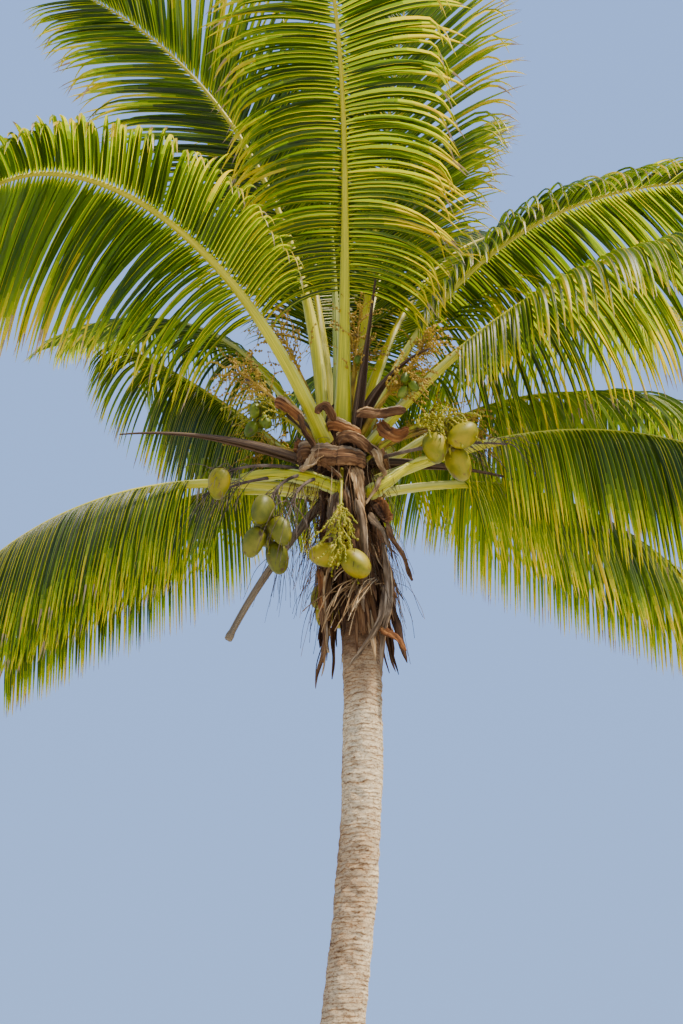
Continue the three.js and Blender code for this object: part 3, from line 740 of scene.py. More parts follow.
# %% Leaflets of each side of the crown
USUAL_AGE = 0.8
AGE = {
    "frond_front": 1.5,
    "frond_left_arching": 1.0,
    "frond_left_high": 1.1,
    "frond_right_upright": 1.2,
    "frond_left_low": 0.7,
    "frond_right_arching": 1.1,
}
SIDES = {
    "left": [name for name in FRONDS if "left" in name or name == "frond_front"],
    "right": [name for name in FRONDS if "right" in name],
}
rear = [name for name in FRONDS if name not in SIDES["left"] + SIDES["right"]]
SIDES["rear_upper"], SIDES["rear_lower"] = rear[:6], rear[6:]
leaf_map = grid_map(LEAFLET_STOPS[:, None], [0, 1])

for side_number, (side_name, names) in enumerate(SIDES.items()):
    strips, dealt = [], []
    for number, name in enumerate(names):
        habit = HABIT.get(name, usual_habit(FRONDS[name][1]))
        blades, v, rng = leaflet_strips(FRONDS[name], habit, 100 * side_number + number)
        strips.append(blades.reshape(-1, LEAFLET_STOPS.size, 2, 3))
        dealt.append(leaflet_finishes(v, rng, AGE.get(name, USUAL_AGE)).ravel())
    strips = np.concatenate(strips)
    piece(
        f"leaflets_{side_name}",
        strips,
        [open_faces(*strips.shape[:3])],
        leaf_colours,
        "green_leaf",
        which=np.concatenate(dealt),
        uv=leaf_map,
        replaces=frond_nodes(names),
    )

# %% [markdown]
# ## Dead fibre
#
# A young leaf base is wrapped in a cloth of brown fibre. As the leaf grows the cloth tears, dries and
# stays behind as crumpled bands, hanging flaps and loose threads, which hide the top of the trunk. They
# are thin, curled and torn, so they are made as slabs: a grid for the outer face, the same grid a few
# millimetres further in, and walls between. Five finishes, from dark chocolate to pale straw, keep the
# heap from looking like one lump.


# %% Slabs
def slabs(grid, thickness):
    """Closed rings from sheets: the outer face's columns, then the inner face's columns backwards. The
    inner face lies a thickness below the outer one, along the sheet's own normal."""
    normal = unit(np.cross(np.gradient(grid, axis=1), np.gradient(grid, axis=2)))
    return np.concatenate([grid, (grid - normal * thickness)[:, :, ::-1]], axis=2)


def slab_map(along, across):
    """The map of closed slab rings: metres along the sheet, and metres across it, out and back."""
    flat = grid_map(along, across)
    return np.concatenate([flat, flat[..., ::-1, :]], axis=-2)


def surface_at(z):
    """Centre and radius of what the fibre lies on: the trunk with its mat below, the heart above."""
    on_trunk = z < TRUNK_TOP[2]
    radius = np.where(on_trunk, trunk_radius(z) + 0.02, heart_radius(z - CROWN[2]) + 0.01)
    return np.where(on_trunk[..., None], axis_at(z), heart_centre(z - CROWN[2])), radius


FIBRES = {
    "chocolate": [(0.013, 0.0045, 0.002), (0.048, 0.019, 0.006), (0.13, 0.058, 0.020)],
    "brown": [(0.035, 0.012, 0.004), (0.125, 0.052, 0.017), (0.29, 0.15, 0.058)],
    "grey": [(0.055, 0.030, 0.014), (0.175, 0.108, 0.055), (0.40, 0.28, 0.165)],
    "straw": [(0.16, 0.08, 0.028), (0.38, 0.22, 0.09), (0.66, 0.46, 0.24)],
    "rust": [(0.055, 0.017, 0.005), (0.18, 0.062, 0.016), (0.38, 0.155, 0.042)],
}
CHOCOLATE, BROWN, GREY, STRAW, RUST = range(5)
fibres = [
    mottled(f"fibre_{name}", colours, 55, 0.85, 0.006, 150, (0.10, 1, 1), "UV", specular=0.2)
    for name, colours in FIBRES.items()
]

# %% Heart and the mat under it
MAT_ROWS, MAT_COLUMNS = 170, 96
MAT_FOOT, MAT_THICKNESS = 5.55, 0.030

mat_z = np.linspace(MAT_FOOT, CROWN[2] + 0.6, MAT_ROWS)[:, None]
mat_turn = turns(MAT_COLUMNS)[None, :]
mat_lift = mat_z - CROWN[2]
on_trunk = mat_z < TRUNK_TOP[2]
ragged = 0.22 * waves(21, mat_turn, 0 * mat_z, 12, 1)
covering = np.clip((mat_z - MAT_FOOT - 0.25 - ragged) / 0.35, 0, 1)
strands = waves(22, mat_turn, mat_z, 40, 0.35, 60) + 0.6 * waves(23, mat_turn, mat_z, 14, 0.2)
mat_radius = np.where(on_trunk, trunk_radius(mat_z), heart_radius(mat_lift))
mat_radius = mat_radius + covering * (MAT_THICKNESS + 0.009 * strands) - 0.012 * (1 - covering)
mat_centre = np.where(on_trunk, axis_at(mat_z[:, 0]), heart_centre(mat_lift[:, 0]))[:, None]
mat = (mat_centre + mat_radius[..., None] * outward(mat_turn))[None]
mat_map = grid_map(mat_z, mat_turn * 0.2)
closed_piece("heart_fibre", mat, [fibres[CHOCOLATE]], "dead_fibre", uv=mat_map, replaces=["heart"])

# %% [markdown]
# ### Cloths on smooth lines
#
# A cloth lies on a line through three to five points round the stem: for each of heading, height and
# distance from the axis, the one polynomial that passes through them all at even steps. The same tool
# makes the green clasps, the broad feet of the lowest fronds, which show under the cloth.

# %% Cloth shapes
CLOTH_STOPS, CLOTH_COLUMNS = 44, 13
# the rim takes a paler finish as a painted highlight on the cloth's curled upper edge
RIM = 9  # the columns from here on are the cloth's upper or right edge


def smooth_line(points):
    even, s = np.linspace(0, 1, len(points)), np.linspace(0, 1, CLOTH_STOPS)
    return np.stack([np.polyval(np.polyfit(even, part, len(points) - 1), s) for part in points.T])


def cloth_sheets(cloths, seed):
    """Sheets carried along their lines. Across its line a sheet bows out by its cup and leans by an
    angle; its upper edge rolls out by its curl; its far end narrows to a point by its point. Long soft
    folds run along it, and its edges are torn."""
    rng = np.random.default_rng(seed)
    heading, lift, reach = np.stack([smooth_line(values[0]) for values in cloths], axis=1)
    start, end, cup, lean, curl, point = (
        np.array(column, float)[:, None, None] for column in zip(*[values[1:7] for values in cloths])
    )
    out = outward(np.radians(heading))
    centre, _ = surface_at(CROWN[2] + lift)
    line = centre + reach[..., None] * out
    along = unit(np.gradient(line, axis=1))
    facing = squared(out, along)
    across = np.cross(facing, along)
    s = np.linspace(0, 1, CLOTH_STOPS)[None, :, None]
    c = np.linspace(-1, 1, CLOTH_COLUMNS)[None, None, :]
    phase, other = rng.uniform(0, 6.28, (2, len(cloths), 1, 1))
    torn = 0.06 * np.sin(19 * s + phase) + 0.05 * np.sin(43 * s + other) + 0.04 * np.sin(83 * s + phase * c)
    ends = np.minimum(1, 0.35 + 5 * s) * np.minimum(1, 0.45 + 7 * (1 - s))
    shape = ends * np.clip(1 - point * s**2.0, 0.02, 1) * (1 + torn)
    half = mix(start, end, s) / 2 * shape
    folds = 0.006 * np.sin(5.5 * c + 4 * s + phase) + 0.0035 * np.sin(12 * c + 3 * np.sin(6 * s + other))
    bulge = cup * (1 - c**2) * np.minimum(1, shape) + curl * np.clip(c, 0, 1) ** 2.2 + folds
    bulge = bulge + 0.010 * np.sin(9 * s + other)
    turned = np.radians(lean + 12 * np.sin(4 * s + phase))[..., None]
    across, facing = rolled(across[:, :, None], facing[:, :, None], turned)
    sheet = line[:, :, None] + (half * c)[..., None] * across + bulge[..., None] * facing
    size = np.linalg.norm(line[:, -1] - line[:, 0], axis=-1)[:, None, None]
    return sheet, slab_map(s * size + phase, half * c + other)


def in_metres(points, start, end, cup, lean, curl, *others):
    """A cloth's values, with its centimetres turned into metres."""
    return (np.array(points) / (1, 100, 100), start / 100, end / 100, cup / 100, lean, curl / 100, *others)


# %% Cloths
# points as heading, height over the crown point and distance from the axis; widths at the start and the
# end; cup, lean, curl and point; then the finish and that of its rim, whose paler finish is a painted
# highlight on the curled upper edge. Lengths are in centimetres.
CLOTHS = [
    ([(-114, 26, 28), (-98, 24, 31), (-80, 21, 31), (-58, 19, 26)], 12, 9, 3.5, -12, 3, 0.1, RUST, STRAW),
    ([(-98, 14, 28), (-76, 10, 33), (-54, 5, 35), (-28, 2, 34)], 15, 9, 4.5, -14, 4, 0.1, BROWN, STRAW),
    ([(-44, 6, 36), (-40, -6, 39), (-36, -20, 40)], 10, 7, 2, 8, 2, 0.45, STRAW, STRAW),
    ([(-128, -6, 36), (-110, -7, 36), (-88, -9, 35), (-56, -8, 31)], 19, 17, 5.5, -16, 6, 0, BROWN, GREY),
    ([(-116, -3, 38), (-127, -12, 44), (-137, -21, 49)], 12, 18, -2, 10, 2, 0, STRAW, STRAW),
    ([(-118, -13, 38), (-104, -21, 36), (-95, -28, 33)], 4, 3, 1.2, 0, 0, 0.3, BROWN, STRAW),
    ([(-136, 34, 52), (-130, 15, 44), (-124, -2, 35)], 7, 9, 2, 20, 0, 0, CHOCOLATE, BROWN),
    ([(-113, 28, 48), (-106, 33, 50), (-99, 24, 40)], 8, 7, 2, -10, 2, 0, BROWN, BROWN),
    ([(-150, 46, 64), (-141, 40, 58), (-133, 27, 46)], 11, 10, 3, -10, 3, 0, RUST, STRAW),
    ([(-72, 30, 42), (-60, 28, 50), (-50, 29, 57), (-38, 33, 67)], 11, 7, 3, -8, 2, 0, BROWN, STRAW),
    ([(-46, 24, 46), (-44, 10, 58), (-36, 16, 68)], 12, 10, 3, 25, 3, 0, RUST, RUST),
    ([(-76, -15, 32), (-74, -36, 37), (-74, -64, 34)], 13, 13, -2, 4, 0, 1, STRAW, STRAW),
    ([(-34, -19, 38), (-54, -36, 38), (-68, -50, 36)], 4.5, 3.5, 1, 0, 0, 0.6, STRAW, STRAW),
    ([(-52, -38, 28), (-47, -50, 38), (-45, -64, 40)], 17, 15, -7, 6, 0, 0.2, CHOCOLATE, RUST),
    ([(-62, -57, 34), (-54, -74, 39), (-47, -92, 44)], 10, 8, 2, -12, 0, 0.7, GREY, STRAW),
    ([(-48, -66, 42), (-43, -92, 48), (-39, -118, 56)], 9, 7, 2, -10, 0, 0.3, BROWN, GREY),
    ([(-80, -46, 34), (-78, -66, 39), (-78, -97, 39), (-84, -134, 34)], 7, 7.5, 3.5, 0, 0, 0.8, GREY, STRAW),
    ([(-106, -40, 31), (-113, -60, 33), (-117, -84, 31)], 15, 15, 3.5, -6, 0, 0.2, GREY, GREY),
    ([(-126, -95, 30), (-140, -130, 34), (-132, -176, 37)], 4.5, 3.5, 1.2, 10, 0, 0.6, STRAW, GREY),
    ([(-152, -100, 30), (-150, -122, 32), (-146, -146, 31)], 13, 12, 3, 0, 0, 0.3, RUST, BROWN),
    ([(-52, -84, 37), (-50, -128, 39), (-56, -150, 36), (-63, -194, 32)], 7, 6, 2, 14, 0, 0.5, GREY, STRAW),
    ([(-58, -122, 40), (-66, -152, 36), (-84, -170, 31), (-110, -186, 27)], 6, 5, 2, 0, 0, 0.6, GREY, GREY),
    ([(-60, -154, 29), (-53, -166, 42), (-47, -177, 51)], 10, 12, 4, -20, 0, 0.9, RUST, BROWN),
    ([(-96, -30, 30), (-92, -52, 33), (-94, -80, 30)], 6, 5, 1.5, 0, 0, 0.5, BROWN, GREY),
    ([(-20, 10, 30), (-4, 6, 34), (18, 2, 32)], 16, 15, 5, -12, 5, 0, BROWN, GREY),
    ([(-168, 8, 32), (-152, 5, 36), (-134, 2, 34)], 16, 16, 5, -12, 5, 0, BROWN, GREY),
]
REAR_CLOTHS = 14

cloths = [in_metres(*values) for values in CLOTHS]
rng = np.random.default_rng(31)
for k in range(REAR_CLOTHS):
    first, lift, distance = 10 + 12.5 * k, rng.uniform(-0.14, 0.34), rng.uniform(0.27, 0.36)
    span, tilt = rng.uniform(25, 60), rng.uniform(-0.08, 0.08)
    course = np.array([(first + span * (s - 0.5), lift + tilt * s, distance) for s in (0, 0.5, 1)])
    finish, rim = rng.choice([CHOCOLATE, BROWN, RUST, GREY]), rng.choice([STRAW, GREY, BROWN])
    cloths.append((course, 0.17, 0.14, 0.05, -14, 0.05, 0.1, finish, rim))

sheets, cloth_map = cloth_sheets(cloths, 32)
body, rim = np.array([values[7:9] for values in cloths]).T
column = np.arange(2 * CLOTH_COLUMNS)
column = np.minimum(column, 2 * CLOTH_COLUMNS - 2 - column)
dealt = np.where(column >= RIM, rim[:, None], body[:, None])[:, None]
dealt = np.broadcast_to(dealt, (len(cloths), CLOTH_STOPS - 1, 2 * CLOTH_COLUMNS))
which = np.concatenate([dealt.ravel(), np.tile(body, 2)])
closed_piece("fibre_cloths", slabs(sheets, -0.005), fibres, "dead_fibre", which=which, uv=cloth_map)

# %% Green clasps
CLASPS = [
    ([(-92, -35, 26), (-120, -30, 33), (-150, -20, 45), (-172, -11.5, 63), (-184, -6, 86)], 13, 6, 3),
    ([(-52, -36, 25), (-36, -28, 33), (-18, -13, 46), (-8, 0, 62), (-5, 6, 80)], 12, 7, 3),
    ([(150, -30, 26), (128, -22, 34), (112, -6, 46)], 14, 12, 5),
    ([(20, -28, 26), (40, -20, 34), (56, -4, 46)], 14, 12, 5),
]

sheets, _ = cloth_sheets([in_metres(*values, 0, 0, 0) for values in CLASPS], 34)
down_the_stalk = 0.5 + 0.8 * np.linspace(0, 1, CLOTH_STOPS)[:, None]
clasp_map = slab_map(down_the_stalk, np.linspace(0.98, 0.52, CLOTH_COLUMNS))
closed_piece("green_clasps", slabs(sheets, -0.02), [petiole], "green_leaf", uv=clasp_map)

# %% [markdown]
# ### Hanging strips
#
# Below the bands hang the dead sheaths: broad tongues that lie on the trunk, narrower strips that stand
# off it, and torn flaps. All follow one rule. A strip starts at a heading and a height, falls plumb, and
# stands off the trunk more and more; its edges curl and its end frays to a point. The six broad ones
# follow the frame's sheaths, and the others are dealt out round the trunk by chance.

# %% Strip shapes
STRIP_STOPS, STRIP_COLUMNS = 26, 5


def strips_down(values, seed):
    """Sheets that hang down the trunk. Across a strip the middle stands out by its cup, and along it the
    heading sways and the strip twists. Width: narrow at the top, widest at a third, frayed at the foot."""
    rng = np.random.default_rng(seed)
    heading, top, length, width, stand, cup, sway, twist = (
        np.array(column, float)[:, None, None] for column in zip(*values)
    )
    s = np.linspace(0, 1, STRIP_STOPS)[None, :, None]
    c = np.linspace(-1, 1, STRIP_COLUMNS)[None, None, :]
    phase = rng.uniform(0, 6.28, heading.shape)
    z = top - length * s
    centre, radius = surface_at(z)
    shape = np.minimum(0.55 + 1.8 * s, 1) * np.clip(1 - s**3, 0, 1) ** 0.6 + 0.04
    shape = shape * (1 + 0.14 * np.sin(17 * s + phase) + 0.10 * np.sin(37 * s + 2 * phase))
    wavy = 0.012 * np.sin(8 * s + phase) + 0.006 * np.sin(21 * s + 2 * phase)
    radius = radius + 0.012 + stand * s**1.6 + wavy
    out = outward(np.radians(heading + sway * s + 4 * np.sin(5 * s + phase)))
    lean = np.radians(twist * s + 10 * np.sin(6 * s + phase))[..., None]
    across, facing = rolled(np.cross(-DOWN, out), out, lean)
    half = (width * shape / 2)[..., None] * c[..., None]
    bulge = (cup * shape * (1 - c**2))[..., None]
    strip_map = slab_map(z + phase, width * c / 2 + 3 * phase)
    return centre + radius[..., None] * out + half * across + bulge * facing, strip_map


# %% Broad sheaths, strips and flaps
SHEATHS = {
    "dead_sheath_front": (-84, 0.16, 1.25, 0.05),
    "dead_sheath_left": (-152, 0.16, 1.45, 0.13),
    "dead_sheath_right": (-24, 0.16, 1.45, 0.16),
    "dead_sheath_rear_right": (36, 0.16, 1.25, 0.12),
    "dead_sheath_rear": (96, 0.16, 1.35, 0.12),
    "dead_sheath_rear_left": (156, 0.16, 1.20, 0.12),
}
SHEATH_TOP = 6.69
LOOSE_STRIPS = 150

# heading, top, length, width, stand-off, cup, sway, twist, then the finish
hanging = [
    (heading, SHEATH_TOP, length, width * 1.15, stand + 0.03, 0.05, 0, 12, finish)
    for (heading, width, length, stand), finish in zip(SHEATHS.values(), [BROWN, BROWN, CHOCOLATE] * 2)
]
rng = np.random.default_rng(41)
for k in range(LOOSE_STRIPS):
    heading = 360 / LOOSE_STRIPS * k + rng.normal(0, 6)
    ranges = ((6.25, 6.98), (0.35, 1.25), (0.012, 0.075), (0.0, 0.19), (0.0, 0.02))
    sizes = [rng.uniform(*ends) for ends in ranges]
    sway, twist = rng.normal(0, 8), rng.normal(0, 45)
    finish = rng.choice([CHOCOLATE, BROWN, GREY, STRAW], p=[0.4, 0.4, 0.14, 0.06])
    hanging.append((heading, *sizes, sway, twist, finish))

sheets, strip_map = strips_down([values[:8] for values in hanging], 42)
closed_piece(
    "hanging_sheaths",
    slabs(sheets, -0.004),
    fibres,
    "dead_fibre",
    dealt=[values[8] for values in hanging],
    uv=strip_map,
    replaces=SHEATHS,
)

# %% [markdown]
# ## Spathes and the dead stalk
#
# Every bunch of flowers is born in a woody sheath, shaped like a narrow boat. When it splits it stays for
# months as a dark curved horn, grooved outside and hollow along its open side. Its section is an open
# ring: out along the outer skin and back along the inner one. The rings ride on the limb's line, as the
# ribs do, and the grooves are small waves in the radius.

# %% Spathe shapes
# the limb's six values, then the radius at the base and at the tip
SPATHES = {
    "spathe_left": (-176, 20, 28, 1.75, 0.0, 0, 0.034, 0.006),
    "spathe_right": (10, 6, 18, 1.40, 0.05, 0, 0.034, 0.006),
    "spathe_front_upright": (-58, 76, 0, 1.58, 0.06, 0, 0.034, 0.008),
    "spathe_left_rear": (164, 52, 10, 1.10, 0.21, 0, 0.034, 0.012),
    "spathe_over_young": (-36, 62, 62, 1.00, 0.29, 0, 0.034, 0.008),
    "spathe_rear": (90, 73, 10, 1.20, 0.42, 0, 0.028, 0.008),
}
SPATHE_STATIONS, SPATHE_SIDES = 40, 15
SPATHE_OPENING = 50  # degrees on each side of the open edge


def spathe_rings(values):
    """An open ring, widest a third of the way out, as a skin of two sides."""
    base, tip = values[6:8]
    u = np.linspace(0, 1, SPATHE_STATIONS)
    boat = 0.75 + 0.5 * np.sin(np.pi * np.minimum(1, u / 0.66))
    radius = (mix(base, tip, u) * boat * 1.35)[:, None]
    turn = np.radians(np.linspace(-90 + SPATHE_OPENING, 270 - SPATHE_OPENING, SPATHE_SIDES))[None, :]
    grooves = 1 + 0.05 * np.cos(11 * turn + 3) + 0.03 * np.cos(23 * turn + 2 * u[:, None])
    skin = np.concatenate([radius * grooves, np.broadcast_to(radius * 0.72, grooves.shape)], axis=1)
    turn = np.concatenate([turn, turn[:, ::-1]], axis=1)
    return sections(limb(values, u), skin * np.cos(turn), skin * np.sin(turn) * 1.15)


WOODY = [(0.030, 0.013, 0.005), (0.095, 0.048, 0.020), (0.26, 0.155, 0.075)]
woody = mottled("woody_spathe", WOODY, 3, 0.62, 0.006, 9, (0.35, 14, 1), "UV")
spathes = np.stack([spathe_rings(values) for values in SPATHES.values()])
spathe_map = grid_map(np.linspace(0, 1.5, SPATHE_STATIONS)[:, None], np.linspace(0, 2, 2 * SPATHE_SIDES))
closed_piece("woody_spathes", spathes, [woody], "woody_spathe", uv=spathe_map, replaces=SPATHES)

# %% Dead stalk
DEAD_STALK = (178, -52, 14, 1.5, -0.27, 0)
DEAD_STATIONS, DEAD_SIDES = 40, 18
WEATHERED = [(0.070, 0.042, 0.020), (0.21, 0.145, 0.080), (0.38, 0.29, 0.18)]

u = np.linspace(0, 1, DEAD_STATIONS)
turn = turns(DEAD_SIDES)
knob = 0.014 * np.exp(-(((u - 0.985) / 0.02) ** 2))
radius = (mix(0.050, 0.034, u) + knob)[:, None] * (1 + 0.10 * np.cos(5 * turn + 2 * u[:, None]))
dead_stalk = sections(limb(DEAD_STALK, u), radius * np.cos(turn), 0.72 * radius * np.sin(turn))
closed_piece(
    "dead_stalk_grooved",
    dead_stalk[None],
    [mottled("weathered_stalk", WEATHERED, 4, 0.8, 0.005, 10, (0.5, 12, 1), "UV")],
    "woody_spathe",
    uv=grid_map(u[:, None] * 1.5, np.arange(DEAD_SIDES) / DEAD_SIDES),
    replaces=["dead_stalk"],
)

# %% [markdown]
# ## Round limbs and threads
#
# Stalks, flower branches and loose fibres are all thin tubes on a line. `tubes` carries a ring of a few
# sides along many lines at once. The ring needs two directions across the line: the first is level, and
# the second stands on both.


# %% Tubes
def tubes(lines, radius, sides):
    """Rings round many lines, with a radius for each line and station, or for all of them."""
    radius = np.broadcast_to(radius, lines.shape[:2])
    heading = unit(np.gradient(lines, axis=1))
    level = unit(np.cross(heading, DOWN + np.array([0.013, 0.007, 0])))
    other = np.cross(heading, level)
    turn = turns(sides)[None, None, :, None]
    spoke = level[:, :, None] * np.cos(turn) - other[:, :, None] * np.sin(turn)
    return lines[:, :, None] + radius[:, :, None, None] * spoke


def hanging_lines(start, first, length, droop, stations, rng, wiggle):
    """Lines that leave start in their first direction and are pulled down more and more; each wiggles."""
    t = ((np.arange(stations - 1) + 0.5) / (stations - 1))[None, :, None]
    bend = droop[:, None, None] * t**1.1 * DOWN
    phase = rng.uniform(0, 6.28, (len(start), 1, 3))
    bend = bend + wiggle * np.sin(t * rng.uniform(4, 11, (len(start), 1, 3)) + phase)
    return walk(start, unit(unit(first)[:, None] + bend) * (length / (stations - 1))[:, None, None])


# %% [markdown]
# ## Bunches
#
# A bunch is a stalk with a plumb stem at its end, a brush of thin flower branches and the nuts that have
# set on them. The nuts hang round the plumb stem in a spiral, 137.5 degrees and a third of a nut's length
# from one to the next, as in the frame. The last value here says how far the nuts lean outwards.

# %% Bunch values
# the limb's six values, the number of nuts, their length, the first one's turn, then their lean
BUNCHES = {
    "bunch_left_single": (-154, 4, 38, 0.98, -0.11, 0, 1, 0.27, 0, 0.0),
    "bunch_left": (-143, -6, 75, 0.78, -0.14, 0, 5, 0.26, 62, 0.35),
    "bunch_front": (-92, -47, 52, 0.92, -0.08, 0, 2, 0.28, 205, 1.5),
    "bunch_right": (-34, 34, 54, 0.93, -0.04, 0, 4, 0.28, 312, 0.8),
    "bunch_left_green": (172, 59, 31, 0.80, 0.11, 0, 5, 0.16, 250, 0.5),
    "bunch_young": (-38, 60, 49, 0.74, 0.18, 0, 4, 0.12, 178, 0.5),
    "bunch_young_upright": (-54, 80, 8, 0.56, 0.43, 0, 3, 0.09, 0, 0.5),
    "bunch_rear_right": (62, -55, 30, 0.90, -0.30, 0, 3, 0.25, 90, 0.4),
    "bunch_rear": (86, 4, 60, 0.80, -0.16, 0, 5, 0.25, 40, 0.5),
    "bunch_rear_left": (102, -33, 30, 0.86, -0.24, 0, 3, 0.25, 315, 0.4),
}
# the nuts that lie askew in front: bunch, number of the nut, direction of its far end
ASKEW = [
    ("bunch_front", 0, (-0.97, -0.12, -0.08)),
    ("bunch_front", 1, (0.62, -0.25, -0.72)),
    ("bunch_right", 1, (-0.72, -0.30, -0.62)),
    ("bunch_right", 2, (0.10, -0.15, -0.98)),
]
GOLDEN_TURN = 137.5
NUT_SPREAD, NUT_HANG, NUT_PITCH = 0.44, 0.30, 0.32


def nut_seats(values):
    """The middle, the direction and the length of each nut, and the stalk's end that it hangs from. Nut k
    stands off the plumb stem by its spread at first turn + 137.5 k, and a pitch lower than the last."""
    count, length, first_turn, lean = values[6:10]
    k = np.arange(count)
    end, _, side, _ = limb(values, np.ones(count))
    turn = np.radians(first_turn + GOLDEN_TURN * k)[:, None]
    away = side * np.cos(turn) + np.cross(side, -DOWN) * np.sin(turn)
    middle = end + away * (NUT_SPREAD * length if count > 1 else 0)
    middle[:, 2] -= length * (NUT_HANG + NUT_PITCH * k)
    rng = np.random.default_rng(int(100 * values[3]))
    direction = unit(DOWN + away * lean * rng.uniform(0.6, 1.4, (count, 1)) + rng.normal(0, 0.06, (count, 3)))
    return middle, direction, np.full(count, length), end


seats = {name: nut_seats(values) for name, values in BUNCHES.items()}
for name, number, towards in ASKEW:
    seats[name][1][number] = unit(np.array(towards))
middle, direction, length, hang = (np.concatenate([seat[k] for seat in seats.values()]) for k in range(4))

# %% [markdown]
# ### The nuts
#
# A coconut in its husk is an egg with three blunt corners, a little drawn in towards its far end, under a
# cap of stiff scales at its stem. Latitude and longitude give its grid: the radius follows a rounded
# profile, and a small wave with three crests makes the corners.

# %% Nut shapes
NUT_ROWS, CAP_ROWS, NUT_SIDES = 22, 7, 24
NUT_GIRTH = 0.345  # a nut's greatest radius as a share of its length
NUT_END = 0.02  # the angle from the axis at which the grid ends


def round_nuts(turn, along, across):
    """Points round each nut: half its length times along, down its axis, and its length times across."""
    level = unit(np.cross(direction, np.array([0.31, 0.22, 0.93])))
    other = np.cross(direction, level)
    size = length[:, None, None]
    spoke = level[:, None, None] * np.cos(turn)[..., None] - other[:, None, None] * np.sin(turn)[..., None]
    axis = direction[:, None, None] * (0.5 * along * size)[..., None]
    return middle[:, None, None] + axis + spoke * (across * size)[..., None]


def nut_rings(seed):
    """From the stem to the far end: a cosine along the axis, and a sine across it, fuller at the
    shoulders, with three corners."""
    rng = np.random.default_rng(seed)
    polar = np.linspace(NUT_END, np.pi - NUT_END, NUT_ROWS)[None, :, None]
    turn = turns(NUT_SIDES)[None, None, :]
    phase = rng.uniform(0, 6.28, (len(middle), 1, 1))
    along = -np.cos(polar) * (1 + 0.05 * (np.cos(polar) < 0))
    belly = np.sin(polar) ** 0.90 * (1 + 0.10 * np.cos(polar))
    corners = 1 + 0.075 * np.cos(3 * (turn + phase)) * np.sin(polar) + 0.01 * np.cos(7 * turn + 5 * polar)
    across = NUT_GIRTH * belly * corners * rng.uniform(0.94, 1.06, (len(middle), 1, 1))
    return round_nuts(turn, along, across)


def cap_rings():
    """The cap of scales: a bowl over the stem end, just outside the husk, whose rim has six lobes."""
    polar = np.linspace(NUT_END, 1, CAP_ROWS)[None, :, None]
    turn = turns(NUT_SIDES)[None, None, :]
    reach = 0.62 * polar * (0.72 + 0.28 * np.abs(np.cos(3 * turn)))
    across = NUT_GIRTH * np.sin(reach) ** 0.9 + 0.003 / length[:, None, None] * polar
    return round_nuts(turn, -np.cos(reach) * 1.06, across)


# %% Husk finishes
def husk_finish(name, colours):
    """Waxy husk: soft patches of three near colours, with a few scuffs of the fourth."""
    husk = Finish(name, 0.50, 0.28)
    colour = husk.ramp(husk.noise(7), list(zip((0.35, 0.5, 0.65), colours)))
    marks = husk.ramp(husk.noise(14, 6, (1, 1, 0.5), 0.7), [(0.56, 0), (0.66, 1)])
    return husk.paint(husk.blend(marks, colour, colours[3]), husk.noise(40), 0.002, 0.4)


HUSKS = {
    "husk_yellow": [(0.145, 0.14, 0.001), (0.25, 0.205, 0.001), (0.34, 0.24, 0.002), (0.15, 0.07, 0.015)],
    "husk_olive": [(0.075, 0.08, 0.002), (0.135, 0.13, 0.003), (0.20, 0.17, 0.008), (0.085, 0.045, 0.012)],
    "husk_green": [(0.065, 0.095, 0.002), (0.125, 0.165, 0.004), (0.20, 0.22, 0.015), (0.09, 0.06, 0.015)],
}
YELLOW, OLIVE, GREEN = range(3)
RIPENESS = {
    "bunch_left": OLIVE,
    "bunch_left_green": GREEN,
    "bunch_young": GREEN,
    "bunch_young_upright": GREEN,
}
CAP = [(0.07, 0.045, 0.015), (0.17, 0.13, 0.03), (0.28, 0.23, 0.06)]

husks = [husk_finish(name, colours) for name, colours in HUSKS.items()]
nut_counts = [values[6] for values in BUNCHES.values()]
ripeness = np.repeat([RIPENESS.get(name, YELLOW) for name in BUNCHES], nut_counts)
closed_piece("coconuts", nut_rings(51), husks, "green_husk", dealt=ripeness, replaces=BUNCHES)
caps = cap_rings()
cap_walls, _ = closed_faces(*caps.shape[:3])
piece("nut_caps", caps, [cap_walls], [mottled("nut_cap", CAP, 30, 0.6, 0.002, 90)], "green_husk")

# %% [markdown]
# ### Stalks and flower branches
#
# The branches stay on for months after flowering. On a young bunch they are yellow-green, later orange,
# and in the end a dry brown brush. Each brush is thrown out round the last part of its stalk.

# %% Branch finishes
BRANCHES = {
    "green_branch": ([(0.16, 0.17, 0.006), (0.32, 0.28, 0.010), (0.46, 0.34, 0.02)], 12, 0.5),
    "orange_branch": ([(0.14, 0.08, 0.010), (0.36, 0.21, 0.014), (0.54, 0.35, 0.03)], 9, 0.6),
    "dry_branch": ([(0.040, 0.022, 0.013), (0.10, 0.063, 0.042), (0.21, 0.15, 0.105)], 9, 0.8),
}
FRESH, ORANGE, DRIED = range(3)
branch_finishes = [mottled(name, *values, 0.001, 80) for name, values in BRANCHES.items()]

# %% Stalks
# the number of branches of a bunch, their length, how they droop and their finish
BUNCH_BRANCHES = {
    "bunch_left_single": (26, 0.40, 2.0, DRIED),
    "bunch_left": (34, 0.42, 2.2, DRIED),
    "bunch_front": (46, 0.36, 1.0, FRESH),
    "bunch_right": (40, 0.42, 1.4, FRESH),
    "bunch_left_green": (50, 0.38, 1.0, FRESH),
    "bunch_young": (46, 0.34, 0.8, ORANGE),
    "bunch_young_upright": (34, 0.34, 0.6, ORANGE),
}
REAR_BRANCHES = (36, 0.40, 1.8, DRIED)
